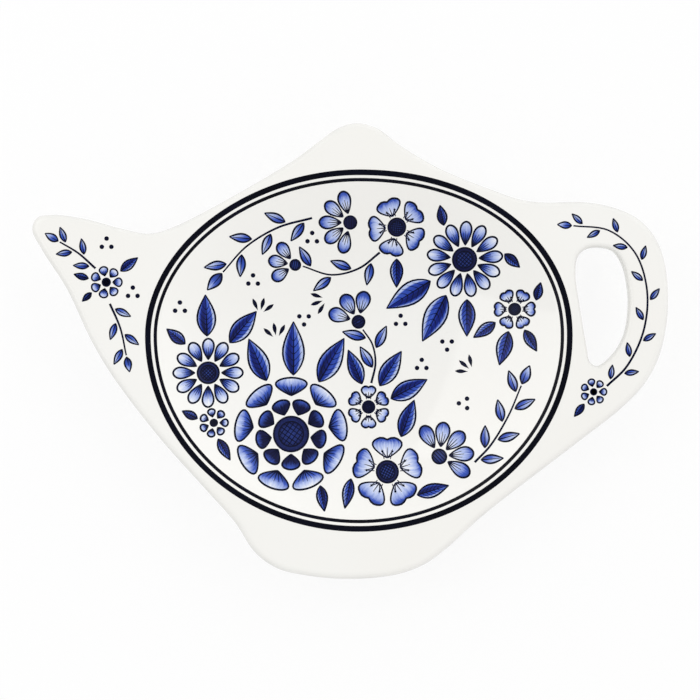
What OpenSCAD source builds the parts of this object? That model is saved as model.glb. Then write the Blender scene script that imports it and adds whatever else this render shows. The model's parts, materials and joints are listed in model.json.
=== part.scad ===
// Tea bag rest: a shallow glazed ceramic dish with the outline of a teapot.
// The spout points to -X, the handle to +X and the lid's peak to +Y.
// The dish stands on its foot ring at z = 0. Lengths are in millimetres.

/* [Well] */
// Length of the well over its wide band
well_length = 83.8; // [76:0.2:92]
// Width of the well over its wide band
well_width = 71; // [64:0.2:78]
// Height of the well's widest line above its middle, towards the lid
well_rise = 2.9; // [0:0.1:4]
// Depth of the well below the flange
well_depth = 8.4; // [6:0.1:11]
// Breadth of the soft lip round the well
lip_breadth = 3; // [2:0.1:5]

/* [Flange] */
// Reach of the spout beyond the well
spout_reach = 22.3; // [18:0.1:27]
// Reach of the handle beyond the well
handle_reach = 18.9; // [16:0.1:23]
// Reach of the lid's peak beyond the well
lid_reach = 9.2; // [7:0.1:12]
// Reach of the base beyond the well
base_reach = 9.4; // [7:0.1:12]
// Thickness of the flange
flange_t = 3.7; // [3:0.1:5]
// Breadth of the rounding along the outer edge
edge_round = 1.5; // [0.8:0.1:1.8]

/* [Finger opening] */
// Length of the finger opening in the handle
grip_length = 23.2; // [18:0.1:26]
// Wall between the well's longest point and the finger opening
grip_wall = 0.6; // [0.4:0.1:2]
// Breadth of the handle's strap outside the finger opening
strap_width = 7.9; // [6.5:0.1:10]
// Height of the opening's middle above the well's widest line
grip_rise = 5.7; // [3:0.1:7]
// Breadth of the rounding along the opening's edge
grip_round = 1.2; // [0.6:0.1:1.5]

/* [Underside] */
// Thickness of the wall under the well
wall = 3.4; // [3:0.1:5]
// Height of the foot ring below the well's wall
foot_height = 1.6; // [1:0.1:3]
// Breadth of the foot ring
foot_width = 3; // [2.4:0.1:4]
// Distance of the foot ring inside the well's lip
foot_inset = 13; // [10:0.1:16]
// Rounding of the foot ring's edges
foot_round = 0.4; // [0.2:0.1:0.8]

/* [Bands] */
// Width of the wide band
wide_band_w = 1.1; // [0.6:0.1:1.4]
// Width of the fine band
fine_band_w = 0.65; // [0.3:0.05:0.9]
// Bare glaze between the two bands
band_gap = 0.55; // [0.3:0.05:0.8]

/* [Printed flowers] */
// Width of the drawn stems
stem_w = 0.45; // [0.3:0.05:0.6]
// Radius of one dot in the groups of three
dot_r = 0.45; // [0.3:0.05:0.6]
// Length of one comma stroke in the groups of three
comma_l = 2.6; // [1.8:0.1:3]
// Bare glaze left between neighbouring shapes of the print
print_gap = 0.25; // [0.15:0.05:0.4]

/* [Hidden] */

glaze_white = "#f4f3ee";
ink_blue = "#171b3a";
petal_blue = "#8fa6d8";
leaf_blue = "#34509f";

// Thickness of a fired-on film of colour, and the bare gap beneath it
film_t = 0.1;
film_gap = 0.06;
// Longest step along the outline, and how far cuts run past a face
outline_step = 3.2;
overrun = 1;

// Halves of the well measured from its widest line, as right, up, left and down
half_len = well_length / 2;
half_up = well_width / 2 - well_rise;
half_down = well_width / 2 + well_rise;
reach_right = half_len + handle_reach;
reach_left = half_len + spout_reach;
reach_up = half_up + lid_reach;
reach_down = half_down + base_reach;
flange_z = foot_height + wall + well_depth;
grip_half_w = (handle_reach - strap_width - grip_wall) / 2;
grip_middle = [half_len + grip_wall + grip_half_w, grip_rise];
// The well's widest line sits here, so that the whole outline is centred on the origin
well_x = (reach_left - reach_right) / 2;
well_y = (reach_down - reach_up) / 2;

// Roundness of the well's upper right, upper left and lower quarters, where 2 is an ellipse
upper_right_share = 2.1;
upper_left_share = 1.93;
lower_share = 2;
// Steepness of the bowl and of its flatter underside, where 2 is a parabola
bowl_share = 2.2;
under_bowl_share = 3;

// Outline of the dish, clockwise from the lid's peak, as shares of the four reaches
outline_shares = [
    [-0.008, 1], [0.057, 0.977], [0.141, 0.888], [0.263, 0.785], [0.425, 0.689],
    [0.522, 0.641], [0.603, 0.627], [0.725, 0.629], [0.819, 0.605], [0.897, 0.555],
    [0.952, 0.475], [0.984, 0.371], [1, 0.205], [0.994, 0.047], [0.968, -0.094],
    [0.922, -0.201], [0.845, -0.302], [0.709, -0.437], [0.402, -0.739], [0.283, -0.875],
    [0.212, -0.94], [0.121, -0.982], [-0.026, -1], [-0.16, -0.986], [-0.252, -0.955],
    [-0.319, -0.889], [-0.38, -0.766], [-0.469, -0.632], [-0.613, -0.415], [-0.753, -0.168],
    [-0.817, -0.025], [-0.894, 0.221], [-0.97, 0.404], [-1, 0.5], [-0.985, 0.555],
    [-0.936, 0.569], [-0.839, 0.55], [-0.729, 0.505], [-0.643, 0.481], [-0.57, 0.51],
    [-0.209, 0.816], [-0.124, 0.912], [-0.063, 0.977]
];
// Outline of the finger opening, clockwise from its top, as shares of its two halves
grip_shares = [
    [-0.11, 1], [0.42, 0.94], [0.77, 0.71], [0.96, 0.35], [1, -0.04], [0.83, -0.48],
    [0.42, -0.8], [-0.15, -1], [-0.43, -0.94], [-0.57, -0.66], [-0.81, -0.02],
    [-0.98, 0.54], [-0.91, 0.83], [-0.6, 0.97]
];
// Radial places of the sections through the well, the underside and a rounded edge
well_shares = [0.91, 0.83, 0.74, 0.64, 0.53, 0.41, 0.28, 0.14];
under_shares = [0.34, 0.67];
round_steps = 6;

// A place on the flange from its shares of the four reaches
function on_flange(p) = [
    p.x * (p.x > 0 ? reach_right : reach_left),
    p.y * (p.y > 0 ? reach_up : reach_down)
];

// Half the length over which the prints in the well are drawn, kept in proportion
print_aspect_share = 0.59;
print_size = min(half_len, well_width * print_aspect_share);
function in_well(p) = [p.x, p.y] * print_size + [0, -well_rise];

// A flower is its middle, radius, petals, turn, spread in degrees and rings of petals.
// A leaf is its flower's number, its angle there, its lean, its length and its width's share.
// A branch is its points, its leaves, their length, the length of the bud at its tip and
// the side of its first leaf.
// A group of dots or strokes is its middle and its turn.
function well_flowers(shares) = [
    for (f = shares) [in_well(f[0]), f[1] * print_size, f[2], f[3], f[4], f[5]]
];
function well_branches(shares) = [
    for (b = shares)
            [[for (p = b[0]) in_well(p)], b[1], b[2] * print_size, b[3] * print_size, b[4]]
];
function flange_flowers(shares, size) = [
    for (f = shares) [on_flange(f[0]), f[1] * size, f[2], f[3], f[4], f[5]]
];
function flange_branches(shares, size) = [
    for (b = shares) [[for (p = b[0]) on_flange(p)], b[1], b[2] * size, b[3] * size, b[4]]
];

// The large spray on the lower left of the well, in shares of print_size
large_flower_shares = [
    [[-0.32, -0.395], 0.27, 9, 10, 360, 2],
    [[-0.71, -0.105], 0.165, 12, 0, 360, 1],
    [[0.135, -0.572], 0.168, 5, 18, 360, 1],
    [[-0.682, -0.34], 0.07, 7, 0, 360, 1],
    [[0.047, -0.268], 0.105, 6, 30, 360, 1],
    [[0.38, -0.5], 0.165, 5, 44, 150, 1]
];
large_leaf_shares = [
    [0, 115, -2, 0.22, 0.45], [0, 88, 2, 0.26, 0.42], [0, 62, -2, 0.245, 0.44],
    [0, 300, -20, 0.125, 0.45],
    [1, 92, 0, 0.2, 0.46], [1, 55, -5, 0.2, 0.46], [1, 128, 12, 0.115, 0.5],
    [2, 190, 68, 0.145, 0.4], [2, 68, 2, 0.19, 0.44], [2, 322, 55, 0.16, 0.42],
    [3, 285, 15, 0.12, 0.42], [3, 165, -12, 0.085, 0.5],
    [4, 62, -4, 0.2, 0.44], [4, 20, 8, 0.2, 0.46], [4, 106, 6, 0.18, 0.42]
];
large_branch_shares = [
    [[[0.06, -0.155], [0.08, -0.06], [0.065, 0.03], [0.02, 0.1]], 3, 0.12, 0, 1],
    [[[0.545, -0.525], [0.62, -0.445], [0.705, -0.305], [0.765, -0.165]], 6, 0.11, 0.1, -1]
];
large_tulip_shares = [[[-0.001, 0.137], 0.15, 3, 120, 84, 1]];
large_dot_shares = [[0.3, -0.07, 90], [-0.26, 0.15, 30], [-0.84, 0.2, 90], [0.5, -0.25, 60]];
large_comma_shares = [[-0.47, 0.17, 75], [0.54, -0.1, 140], [-0.39, 0.05, 100]];

// The small spray on the upper right of the well, in shares of print_size
small_flower_shares = [
    [[0.5, 0.43], 0.18, 13, 5, 360, 1],
    [[0.18, 0.583], 0.14, 5, 40, 360, 1],
    [[0.735, 0.195], 0.1, 6, 0, 360, 1],
    [[-0.04, 0.605], 0.15, 5, 180, 150, 1]
];
small_leaf_shares = [
    [0, 212, 0, 0.25, 0.44], [0, 243, 0, 0.25, 0.44], [0, 274, -4, 0.18, 0.46],
    [0, 122, -20, 0.1, 0.5], [0, 8, -50, 0.1, 0.5],
    [1, 270, 0, 0.14, 0.46],
    [2, 255, 0, 0.17, 0.46], [2, 215, 0, 0.13, 0.46], [2, 295, 4, 0.12, 0.45],
    [2, 22, 55, 0.09, 0.5]
];
small_branch_shares = [
    [[[-0.22, 0.625], [-0.38, 0.58], [-0.53, 0.49], [-0.64, 0.37]], 6, 0.11, 0.11, 1],
    [[[0.1, 0.465], [0, 0.39], [-0.13, 0.36], [-0.265, 0.4]], 4, 0.11, 0, 1]
];
small_tulip_shares = [[[-0.301, 0.406], 0.13, 3, 170, 84, 1]];
small_dot_shares = [[0.2, 0.14, 90], [-0.22, 0.53, 90], [0.42, 0.03, 30], [-0.5, 0.33, 90]];
small_comma_shares = [[-0.15, 0.245, 200]];

// The sprig on the spout, its places in shares of the reaches and its sizes of reach_left
spout_flower_shares = [[[-0.771, 0.251], 0.05, 7, 0, 360, 1]];
spout_leaf_shares = [[0, 38, 0, 0.07, 0.45], [0, 168, -4, 0.05, 0.45], [0, 215, 8, 0.042, 0.48]];
spout_branch_shares = [
    [[[-0.804, 0.316], [-0.857, 0.388], [-0.913, 0.44]], 4, 0.052, 0.05, 1],
    [[[-0.76, 0.15], [-0.728, 0.035], [-0.71, -0.08]], 4, 0.056, 0.05, 1]
];
spout_dot_shares = [[-0.77, 0.43, 90], [-0.69, 0.2, 90]];

// The sprig on the handle, its sizes in shares of reach_right
handle_flower_shares = [[[0.757, -0.23], 0.044, 7, 0, 360, 1]];
handle_leaf_shares = [[0, 232, 0, 0.055, 0.45]];
// Its vine runs round the finger opening, in shares of the way from the opening's middle
// to the handle's edge and to the middle of the strap over it
handle_vine_shares = [
    [0.07, -1], [0.37, -0.75], [0.62, -0.3], [0.67, 0.21], [0.49, 0.68], [0.1, 0.96], [-0.43, 1.02]
];
handle_vine_leaves = 12;
handle_vine_leaf_share = 0.05;

// One point of the smooth curve from b to c, with a and d as its neighbours
function knot_gap(a, b) = sqrt(norm(b - a));
function curve_point(a, b, c, d, t) =
    let(
        ab = knot_gap(a, b),
        bc = knot_gap(b, c),
        cd = knot_gap(c, d),
        m = bc * ((b - a) / ab - (c - a) / (ab + bc) + (c - b) / bc),
        n = bc * ((c - b) / bc - (d - b) / (bc + cd) + (d - c) / cd)
    )
    (2 * t ^ 3 - 3 * t ^ 2 + 1) * b + (t ^ 3 - 2 * t ^ 2 + t) * m
        + (3 * t ^ 2 - 2 * t ^ 3) * c + (t ^ 3 - t ^ 2) * n;

// A closed smooth curve through all the points, with steps no longer than step
function closed_curve(p, step) =
    let(n = len(p))
    [
        for (i = [0 : n - 1])
            let(
                a = p[(i + n - 1) % n],
                b = p[i],
                c = p[(i + 1) % n],
                d = p[(i + 2) % n],
                m = max(2, ceil(norm(c - b) / step))
            )
            for (k = [0 : m - 1]) curve_point(a, b, c, d, k / m)
    ];

// Unit vectors that point out of a closed clockwise curve, one for each point
function outward(p) =
    let(n = len(p))
    [
        for (i = [0 : n - 1])
            let(d = p[(i + 1) % n] - p[(i + n - 1) % n])
            [-d.y, d.x] / norm(d)
    ];

// How far out a place lies in the well: 0 at its deepest point and 1 at its lip
function roundness(p) = p.y < 0 ? lower_share : p.x > 0 ? upper_right_share : upper_left_share;
function well_share(p) =
    let(n = roundness(p))
    (abs(p.x / half_len) ^ n + abs(p.y / (p.y > 0 ? half_up : half_down)) ^ n) ^ (1 / n);

// Rise of a bowl above its floor at a share of its radius, rounded over towards its lip
function bowl(s, rise, lip, power) =
    let(
        start = 1 - lip,
        low = rise / (1 + power * lip / (2 * start)),
        slope = low * power / start,
        t = s - start
    )
    s < start ? low * (s / start) ^ power : low + slope * t - slope * t ^ 2 / (2 * lip);

// Heights of the glazed face and of the underside at a share of the well's radius
lip_share = lip_breadth / half_len;
floor_z = flange_z - well_depth;
function face_z(s) = s < 1 ? floor_z + bowl(s, well_depth, lip_share, bowl_share) : flange_z;
function under_z(s) =
    foot_height + bowl(s, well_depth + wall - flange_t, 2 * lip_share, under_bowl_share);

// Faces of a closed skin over rows of equal length, each row one section of the skin
function skin_faces(rows, n) = [
    for (i = [0 : rows - 1])
        for (j = [0 : n - 2])
            let(a = i * n + j, b = ((i + 1) % rows) * n + j)
            each [[a, b + 1, a + 1], [a, b, b + 1]]
];

outline = closed_curve([for (s = outline_shares) on_flange(s)], outline_step);
outline_out = outward(outline);

// The point of the outline's section at distance r from the well's deepest point
function at(u, r, z) = [u.x * r, u.y * r, z];

// One section of the dish, from the middle of its underside round the edge to its deepest point
function dish_section(o, out) =
    let(
        u = o / norm(o),
        r = 1 / well_share(u),
        foot_out = r - foot_inset,
        foot_in = foot_out - foot_width,
        half_t = flange_t / 2
    )
    [
        for (g = under_shares) at(u, g * foot_in, under_z(g * foot_in / r)),
        at(u, foot_in, under_z(foot_in / r)),
        at(u, foot_in, foot_round),
        at(u, foot_in + foot_round, 0),
        at(u, foot_out - foot_round, 0),
        at(u, foot_out, foot_round),
        at(u, foot_out, under_z(foot_out / r)),
        for (g = under_shares)
            let(v = foot_out + g * (r - foot_out))
            at(u, v, under_z(v / r)),
        at(u, r, flange_z - flange_t),
        for (k = [0 : round_steps])
            let(
                turn = 180 * k / round_steps - 90,
                p = o - out * edge_round * (1 - cos(turn))
            )
            [p.x, p.y, flange_z - half_t + half_t * sin(turn)],
        at(u, r, flange_z),
        for (v = band_edges(r)) at(u, v, face_z(v / r)),
        for (g = well_shares) at(u, g * r, face_z(g))
    ];

// Distances of the bands' edges from the well's deepest point
function band_edges(r) = [
    r - wide_band_w,
    r - wide_band_w - band_gap,
    r - wide_band_w - band_gap - fine_band_w
];

module dish_skin() {
    sections = [for (i = [0 : len(outline) - 1]) dish_section(outline[i], outline_out[i])];
    rows = len(sections);
    n = len(sections[0]);
    bottom = rows * n;
    points = [
        for (s = sections) each s,
        [0, 0, foot_height],
        [0, 0, floor_z]
    ];
    caps = [
        for (i = [0 : rows - 1])
            let(a = i * n, b = ((i + 1) % rows) * n)
            each [[a, bottom, b], [b + n - 1, bottom + 1, a + n - 1]]
    ];
    polyhedron(points, concat(skin_faces(rows, n), caps), convexity = 8);
}

// The finger opening with its rounded edges, as the solid that is cut away
module grip_cut() {
    curve = closed_curve(
        [for (s = grip_shares) grip_middle + [s.x * grip_half_w, s.y * grip_length / 2]],
        outline_step / 2
    );
    out = outward(curve);
    half_t = flange_t / 2;
    sections = [
        for (i = [0 : len(curve) - 1])
            let(c = curve[i], n = out[i])
            [
                point_at(c + n * grip_round, flange_z - flange_t - overrun),
                for (k = [0 : round_steps])
                    let(
                        turn = 180 * k / round_steps - 90,
                        p = c + n * grip_round * (1 - cos(turn))
                    )
                    point_at(p, flange_z - half_t + half_t * sin(turn)),
                point_at(c + n * grip_round, flange_z + overrun)
            ]
    ];
    rows = len(sections);
    n = len(sections[0]);
    points = [
        for (s = sections) each s,
        point_at(grip_middle, flange_z - flange_t - overrun),
        point_at(grip_middle, flange_z + overrun)
    ];
    caps = [
        for (i = [0 : rows - 1])
            let(a = i * n, b = ((i + 1) % rows) * n)
            each [[a, rows * n, b], [b + n - 1, rows * n + 1, a + n - 1]]
    ];
    polyhedron(points, concat(skin_faces(rows, n), caps), convexity = 4);
}
function point_at(p, z) = [p.x, p.y, z];

// Moves what is built round the well's deepest point to its place in the dish
module in_place() {
    translate([well_x, well_y, 0]) children();
}

module dish() {
    color(glaze_white) in_place() difference() {
        dish_skin();
        grip_cut();
    }
}

// A band of colour on the lip, between two distances inside the well's outer line
module lip_band(from, to) {
    sections = [
        for (o = outline)
            let(
                u = o / norm(o),
                r = 1 / well_share(u),
                a = r - from,
                b = r - to,
                za = face_z(a / r) + film_gap,
                zb = face_z(b / r) + film_gap
            )
            [at(u, b, zb), at(u, a, za), at(u, a, za + film_t), at(u, b, zb + film_t)]
    ];
    rows = len(sections);
    faces = [
        for (i = [0 : rows - 1])
            for (j = [0 : 3])
                let(
                    a = 4 * i + j,
                    b = 4 * ((i + 1) % rows) + j,
                    c = 4 * i + (j + 1) % 4,
                    d = 4 * ((i + 1) % rows) + (j + 1) % 4
                )
                each [[a, d, c], [a, b, d]]
    ];
    in_place() polyhedron([for (s = sections) each s], faces, convexity = 6);
}

module wide_band() {
    color(ink_blue) lip_band(0, wide_band_w);
}

module fine_band() {
    color(ink_blue)
        lip_band(wide_band_w + band_gap, wide_band_w + band_gap + fine_band_w);
}

// A direction in the plane of the dish
function heading(turn) = [cos(turn), sin(turn)];

// The outline of a leaf or petal, from its foot along its left side and back.
// peak moves its widest place towards the tip, and blunt rounds its ends.
blade_steps = 5;
function blade(foot, turn, l, w, peak = 0.8, blunt = 1) =
    let(
        u = heading(turn),
        v = heading(turn + 90),
        places = [for (k = [0 : blade_steps]) (1 - cos(180 * k / blade_steps)) / 2],
        widths = [for (t = places) w / 2 * max(0, sin(180 * t ^ peak)) ^ blunt]
    )
    concat(
        [for (k = [0 : blade_steps]) foot + u * l * places[k] + v * widths[k]],
        [
            for (k = [blade_steps - 1 : -1 : 1])
                foot + u * l * places[k] - v * widths[k]
        ]
    );

// A thin film of colour inside a clockwise outline, laid over the glaze
module film(rim, hub) {
    n = len(rim);
    points = [
        for (level = [film_gap, film_gap + film_t])
            for (p = concat(rim, [hub])) point_at(p, face_z(well_share(p)) + level)
    ];
    faces = [
        for (i = [0 : n - 1])
            let(a = i, b = (i + 1) % n, c = n, up = n + 1)
            each [[a, c, b], [a + up, b + up, c + up], [a, b, b + up], [a, b + up, a + up]]
    ];
    polyhedron(points, faces, convexity = 4);
}

module blade_film(foot, turn, l, w, peak = 0.8, blunt = 1) {
    film(blade(foot, turn, l, w, peak, blunt), foot + heading(turn) * l / 2);
}

dot_sides = 8;
eye_sides = 16;
module dot_film(p, r, sides = dot_sides) {
    film([for (k = [0 : sides - 1]) p + r * heading(-360 * k / sides)], p);
}

// Points of an open smooth curve through all the given points
curve_steps = 4;
function open_curve(p) =
    let(
        n = len(p),
        q = concat([2 * p[0] - p[1]], p, [2 * p[n - 1] - p[n - 2]])
    )
    [
        for (i = [0 : n - 2])
            for (k = [0 : i == n - 2 ? curve_steps : curve_steps - 1])
                curve_point(q[i], q[i + 1], q[i + 2], q[i + 3], k / curve_steps)
    ];

// Direction of a curve at its point i
function course(c, i) =
    let(d = c[min(i + 1, len(c) - 1)] - c[max(i - 1, 0)])
    d / norm(d);

// A drawn stem, as a narrow film along a curve
module stem_film(c) {
    n = len(c);
    sides = [
        for (i = [0 : n - 1])
            let(d = course(c, i), v = [-d.y, d.x] * stem_w / 2)
            [c[i] + v, c[i] - v]
    ];
    points = [
        for (s = sides)
            for (level = [film_gap, film_gap + film_t])
                for (p = s) point_at(p, face_z(well_share(p)) + level)
    ];
    faces = concat(
        [[0, 2, 3, 1], [4 * n - 4, 4 * n - 3, 4 * n - 1, 4 * n - 2]],
        [
            for (i = [0 : n - 2])
                let(a = 4 * i, b = 4 * i + 4)
                each [
                    [a, a + 1, b + 1, b], [a + 2, b + 2, b + 3, a + 3],
                    [a, b, b + 2, a + 2], [a + 1, a + 3, b + 3, b + 1]
                ]
        ]
    );
    polyhedron(points, faces, convexity = 6);
}

// Petals of a flower. A whole flower's petals fill the circle, and those of a flower
// seen from its side open over its spread.
two_ring_shares = [[0.66, 1], [0.34, 0.63]];
one_ring_shares = [[0.36, 1]];
side_ring_shares = [[0.26, 1]];
petal_peak = 1.6;
petal_blunt = 0.5;
function whole(f) = f[4] == 360;
function rings(f) = !whole(f) ? side_ring_shares : f[5] == 2 ? two_ring_shares : one_ring_shares;

module flower_petals(f) {
    pitch = whole(f) ? f[4] / f[2] : f[4] / (f[2] - 1);
    first = whole(f) ? f[3] : f[3] - f[4] / 2;
    for (j = [0 : len(rings(f)) - 1]) {
        from = rings(f)[j][0] * f[1];
        to = rings(f)[j][1] * f[1];
        widest = from + (to - from) * 0.5 ^ (1 / petal_peak);
        w = 2 * widest * sin(pitch / 2) - print_gap;
        for (k = [0 : f[2] - 1]) {
            turn = first + pitch * (k + j / 2);
            blade_film(f[0] + from * heading(turn), turn, to - from, w, petal_peak, petal_blunt);
        }
    }
}

// The eye of a whole flower, or the cup that holds the petals of one seen from its side
module flower_eye(f) {
    last = rings(f)[len(rings(f)) - 1];
    dot_film(f[0], last[0] * f[1] - print_gap, eye_sides);
}

module spray_petals(flowers, branches) {
    for (f = flowers) flower_petals(f);
    for (b = branches)
        if (b[3] > 0) {
            c = open_curve(b[0]);
            d = course(c, len(c) - 1);
            turn = atan2(d.y, d.x);
            blade_film(c[len(c) - 1] + d * print_gap, turn, b[3], b[3] * bud_share);
        }
}
bud_share = 0.5;

// Leaves set round the flowers and by turns along the branches
vine_leaf_share = 0.42;
vine_lean = 40;
module spray_leaves(flowers, leaves, branches, size) {
    for (l = leaves) {
        f = flowers[l[0]];
        foot = f[0] + (f[1] + print_gap) * heading(l[1]);
        blade_film(foot, l[1] + l[2], l[3] * size, l[3] * size * l[4]);
    }
    for (b = branches) {
        c = open_curve(b[0]);
        for (k = [0 : b[1] - 1]) {
            i = round((k + 0.7) / b[1] * (len(c) - 1.5));
            d = course(c, i);
            side = k % 2 == 0 ? b[4] : -b[4];
            foot = c[i] + side * [-d.y, d.x] * (stem_w / 2 + print_gap);
            blade_film(foot, atan2(d.y, d.x) + side * vine_lean, b[2], b[2] * vine_leaf_share);
        }
    }
}

// Stems, eyes, and the dots and comma strokes in groups of three
dot_spread_share = 2.4;
comma_spread = 38;
comma_width_share = 0.3;
module spray_linework(flowers, branches, dots, commas) {
    for (f = flowers) flower_eye(f);
    for (b = branches) stem_film(open_curve(b[0]));
    for (g = dots)
        for (k = [0 : 2]) dot_film(g[0] + dot_r * dot_spread_share * heading(g[1] + 120 * k), dot_r);
    for (g = commas)
        for (k = [-1 : 1]) {
            turn = g[1] + comma_spread * k;
            blade_film(g[0] + dot_r * 2 * heading(turn), turn, comma_l, comma_l * comma_width_share, 1.3);
        }
}

large_flowers = well_flowers(concat(large_flower_shares, large_tulip_shares));
large_branches = well_branches(large_branch_shares);
small_flowers = well_flowers(concat(small_flower_shares, small_tulip_shares));
small_branches = well_branches(small_branch_shares);
spout_flowers = flange_flowers(spout_flower_shares, reach_left);
spout_branches = flange_branches(spout_branch_shares, reach_left);
handle_flowers = flange_flowers(handle_flower_shares, reach_right);
handle_vine = [
    for (q = handle_vine_shares)
        grip_middle + [
            q.x * (reach_right - grip_middle.x),
            q.y * (grip_length + strap_width) / 2
        ]
];
vine_leaf_l = handle_vine_leaf_share * reach_right;
handle_branches = [
    [handle_vine, handle_vine_leaves, vine_leaf_l, vine_leaf_l, 1]
];
function well_groups(shares) = [for (g = shares) [in_well(g), g[2]]];
function flange_groups(shares) = [for (g = shares) [on_flange(g), g[2]]];

module large_spray_petals() {
    color(petal_blue) in_place() spray_petals(large_flowers, large_branches);
}

module large_spray_leaves() {
    color(leaf_blue) in_place()
        spray_leaves(large_flowers, large_leaf_shares, large_branches, print_size);
}

module large_spray_linework() {
    color(ink_blue) in_place() spray_linework(
        large_flowers, large_branches, well_groups(large_dot_shares), well_groups(large_comma_shares)
    );
}

module small_spray_petals() {
    color(petal_blue) in_place() spray_petals(small_flowers, small_branches);
}

module small_spray_leaves() {
    color(leaf_blue) in_place()
        spray_leaves(small_flowers, small_leaf_shares, small_branches, print_size);
}

module small_spray_linework() {
    color(ink_blue) in_place() spray_linework(
        small_flowers, small_branches, well_groups(small_dot_shares), well_groups(small_comma_shares)
    );
}

module spout_sprig_petals() {
    color(petal_blue) in_place() spray_petals(spout_flowers, spout_branches);
}

module spout_sprig_leaves() {
    color(leaf_blue) in_place()
        spray_leaves(spout_flowers, spout_leaf_shares, spout_branches, reach_left);
}

module spout_sprig_linework() {
    color(ink_blue) in_place()
        spray_linework(spout_flowers, spout_branches, flange_groups(spout_dot_shares), []);
}

module handle_sprig_petals() {
    color(petal_blue) in_place() spray_petals(handle_flowers, handle_branches);
}

module handle_sprig_leaves() {
    color(leaf_blue) in_place()
        spray_leaves(handle_flowers, handle_leaf_shares, handle_branches, reach_right);
}

module handle_sprig_linework() {
    color(ink_blue) in_place() spray_linework(handle_flowers, handle_branches, [], []);
}

dish();
wide_band();
fine_band();
large_spray_petals();
large_spray_leaves();
large_spray_linework();
small_spray_petals();
small_spray_leaves();
small_spray_linework();
spout_sprig_petals();
spout_sprig_leaves();
spout_sprig_linework();
handle_sprig_petals();
handle_sprig_leaves();
handle_sprig_linework();
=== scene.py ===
"""Dresses the tea bag rest: a glazed dish, two ink bands on its lip and its printed flower sprays.

Lengths are in metres, in the part's own frame: +X to the handle, +Y to the lid's peak, +Z up.
"""

import json
import logging
import math
from dataclasses import dataclass, field
from enum import Enum
from functools import partialmethod
from typing import Callable, Iterable, Sequence

import bmesh
import bpy
import numpy as np
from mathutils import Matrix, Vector
from mathutils.geometry import delaunay_2d_cdt

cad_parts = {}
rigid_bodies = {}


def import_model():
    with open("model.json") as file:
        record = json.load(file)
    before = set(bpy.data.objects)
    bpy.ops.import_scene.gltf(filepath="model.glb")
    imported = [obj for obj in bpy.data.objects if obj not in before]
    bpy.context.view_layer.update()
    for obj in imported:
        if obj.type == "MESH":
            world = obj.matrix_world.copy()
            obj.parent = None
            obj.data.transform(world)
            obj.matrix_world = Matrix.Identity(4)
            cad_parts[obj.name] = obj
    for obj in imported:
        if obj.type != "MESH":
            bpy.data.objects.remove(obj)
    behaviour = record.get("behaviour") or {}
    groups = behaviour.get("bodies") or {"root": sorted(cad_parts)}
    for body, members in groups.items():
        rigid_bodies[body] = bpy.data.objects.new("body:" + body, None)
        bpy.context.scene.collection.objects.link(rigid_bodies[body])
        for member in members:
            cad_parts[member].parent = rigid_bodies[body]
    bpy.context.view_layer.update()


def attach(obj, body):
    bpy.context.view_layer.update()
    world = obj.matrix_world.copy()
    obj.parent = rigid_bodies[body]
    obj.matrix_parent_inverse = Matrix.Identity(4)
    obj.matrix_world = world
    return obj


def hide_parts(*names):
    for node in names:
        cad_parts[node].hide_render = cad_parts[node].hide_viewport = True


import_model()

LOG = logging.getLogger("tea_bag_rest")
MM = 0.001
ROOT = "root"
SHARP_ANGLE = 50.0  # degrees between two faces of a film, past which it is shaded as an edge
WELD_DISTANCE = 1e-5  # in millimetres, for points of a level face that are the same
SKIN_LAYERS = ("in_well", "in_under", "edge", "level")
LAYER_KINDS = {"in_well": "BOOLEAN", "in_under": "BOOLEAN", "motif": "INT"}  # all others are FLOAT
Point = tuple[float, float]
Colour = tuple[float, float, float, float]
Inputs = dict[str, float | int | str]
Socket = bpy.types.NodeSocket


class Slot(Enum):
    """The record's material slots."""

    GLAZE = "glaze"
    BAND_INK = "band_ink"
    PETAL_BLUE = "petal_blue"
    LEAF_BLUE = "leaf_blue"
    LINE_INK = "line_ink"


def srgb(red: float, green: float, blue: float) -> Colour:
    """Turns a colour as it is seen, in 0 to 255, into the linear colour that a shader takes.

    Args:
        red: Red, 0 to 255.
        green: Green, 0 to 255.
        blue: Blue, 0 to 255.

    Returns:
        The linear colour with full alpha.
    """
    parts = [c / 255 for c in (red, green, blue)]
    linear = [c / 12.92 if c <= 0.04045 else ((c + 0.055) / 1.055) ** 2.4 for c in parts]
    return (linear[0], linear[1], linear[2], 1.0)


def heading(turn: float) -> np.ndarray:
    """Unit vector at an angle in degrees."""
    return np.array([math.cos(math.radians(turn)), math.sin(math.radians(turn))])


def curve_span(a: np.ndarray, b: np.ndarray, c: np.ndarray, d: np.ndarray, steps: int) -> np.ndarray:
    """The smooth curve from b towards c, eased by the distances between the knots.

    Args:
        a: Knot before b.
        b: Knot where the span starts.
        c: Knot where it ends.
        d: Knot after c.
        steps: Number of steps.

    Returns:
        The points from b on, without c.
    """
    ab, bc, cd = (math.sqrt(np.linalg.norm(q - p)) for p, q in ((a, b), (b, c), (c, d)))
    m = bc * ((b - a) / ab - (c - a) / (ab + bc) + (c - b) / bc)
    n = bc * ((c - b) / bc - (d - b) / (bc + cd) + (d - c) / cd)
    t = np.arange(steps)[:, None] / steps
    return (
        (2 * t**3 - 3 * t**2 + 1) * b + (t**3 - 2 * t**2 + t) * m
        + (3 * t**2 - 2 * t**3) * c + (t**3 - t**2) * n
    )


def closed_curve(knots: np.ndarray, step: float) -> np.ndarray:
    """A closed smooth curve through all its knots.

    Args:
        knots: The knots, one a row.
        step: Longest step, as measured straight from knot to knot.

    Returns:
        The points, one a row.
    """
    count = len(knots)
    spans = []
    for k in range(count):
        a, b, c, d = (knots[(k + j) % count] for j in (-1, 0, 1, 2))
        spans.append(curve_span(a, b, c, d, max(2, math.ceil(np.linalg.norm(c - b) / step))))
    return np.vstack(spans)


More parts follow.
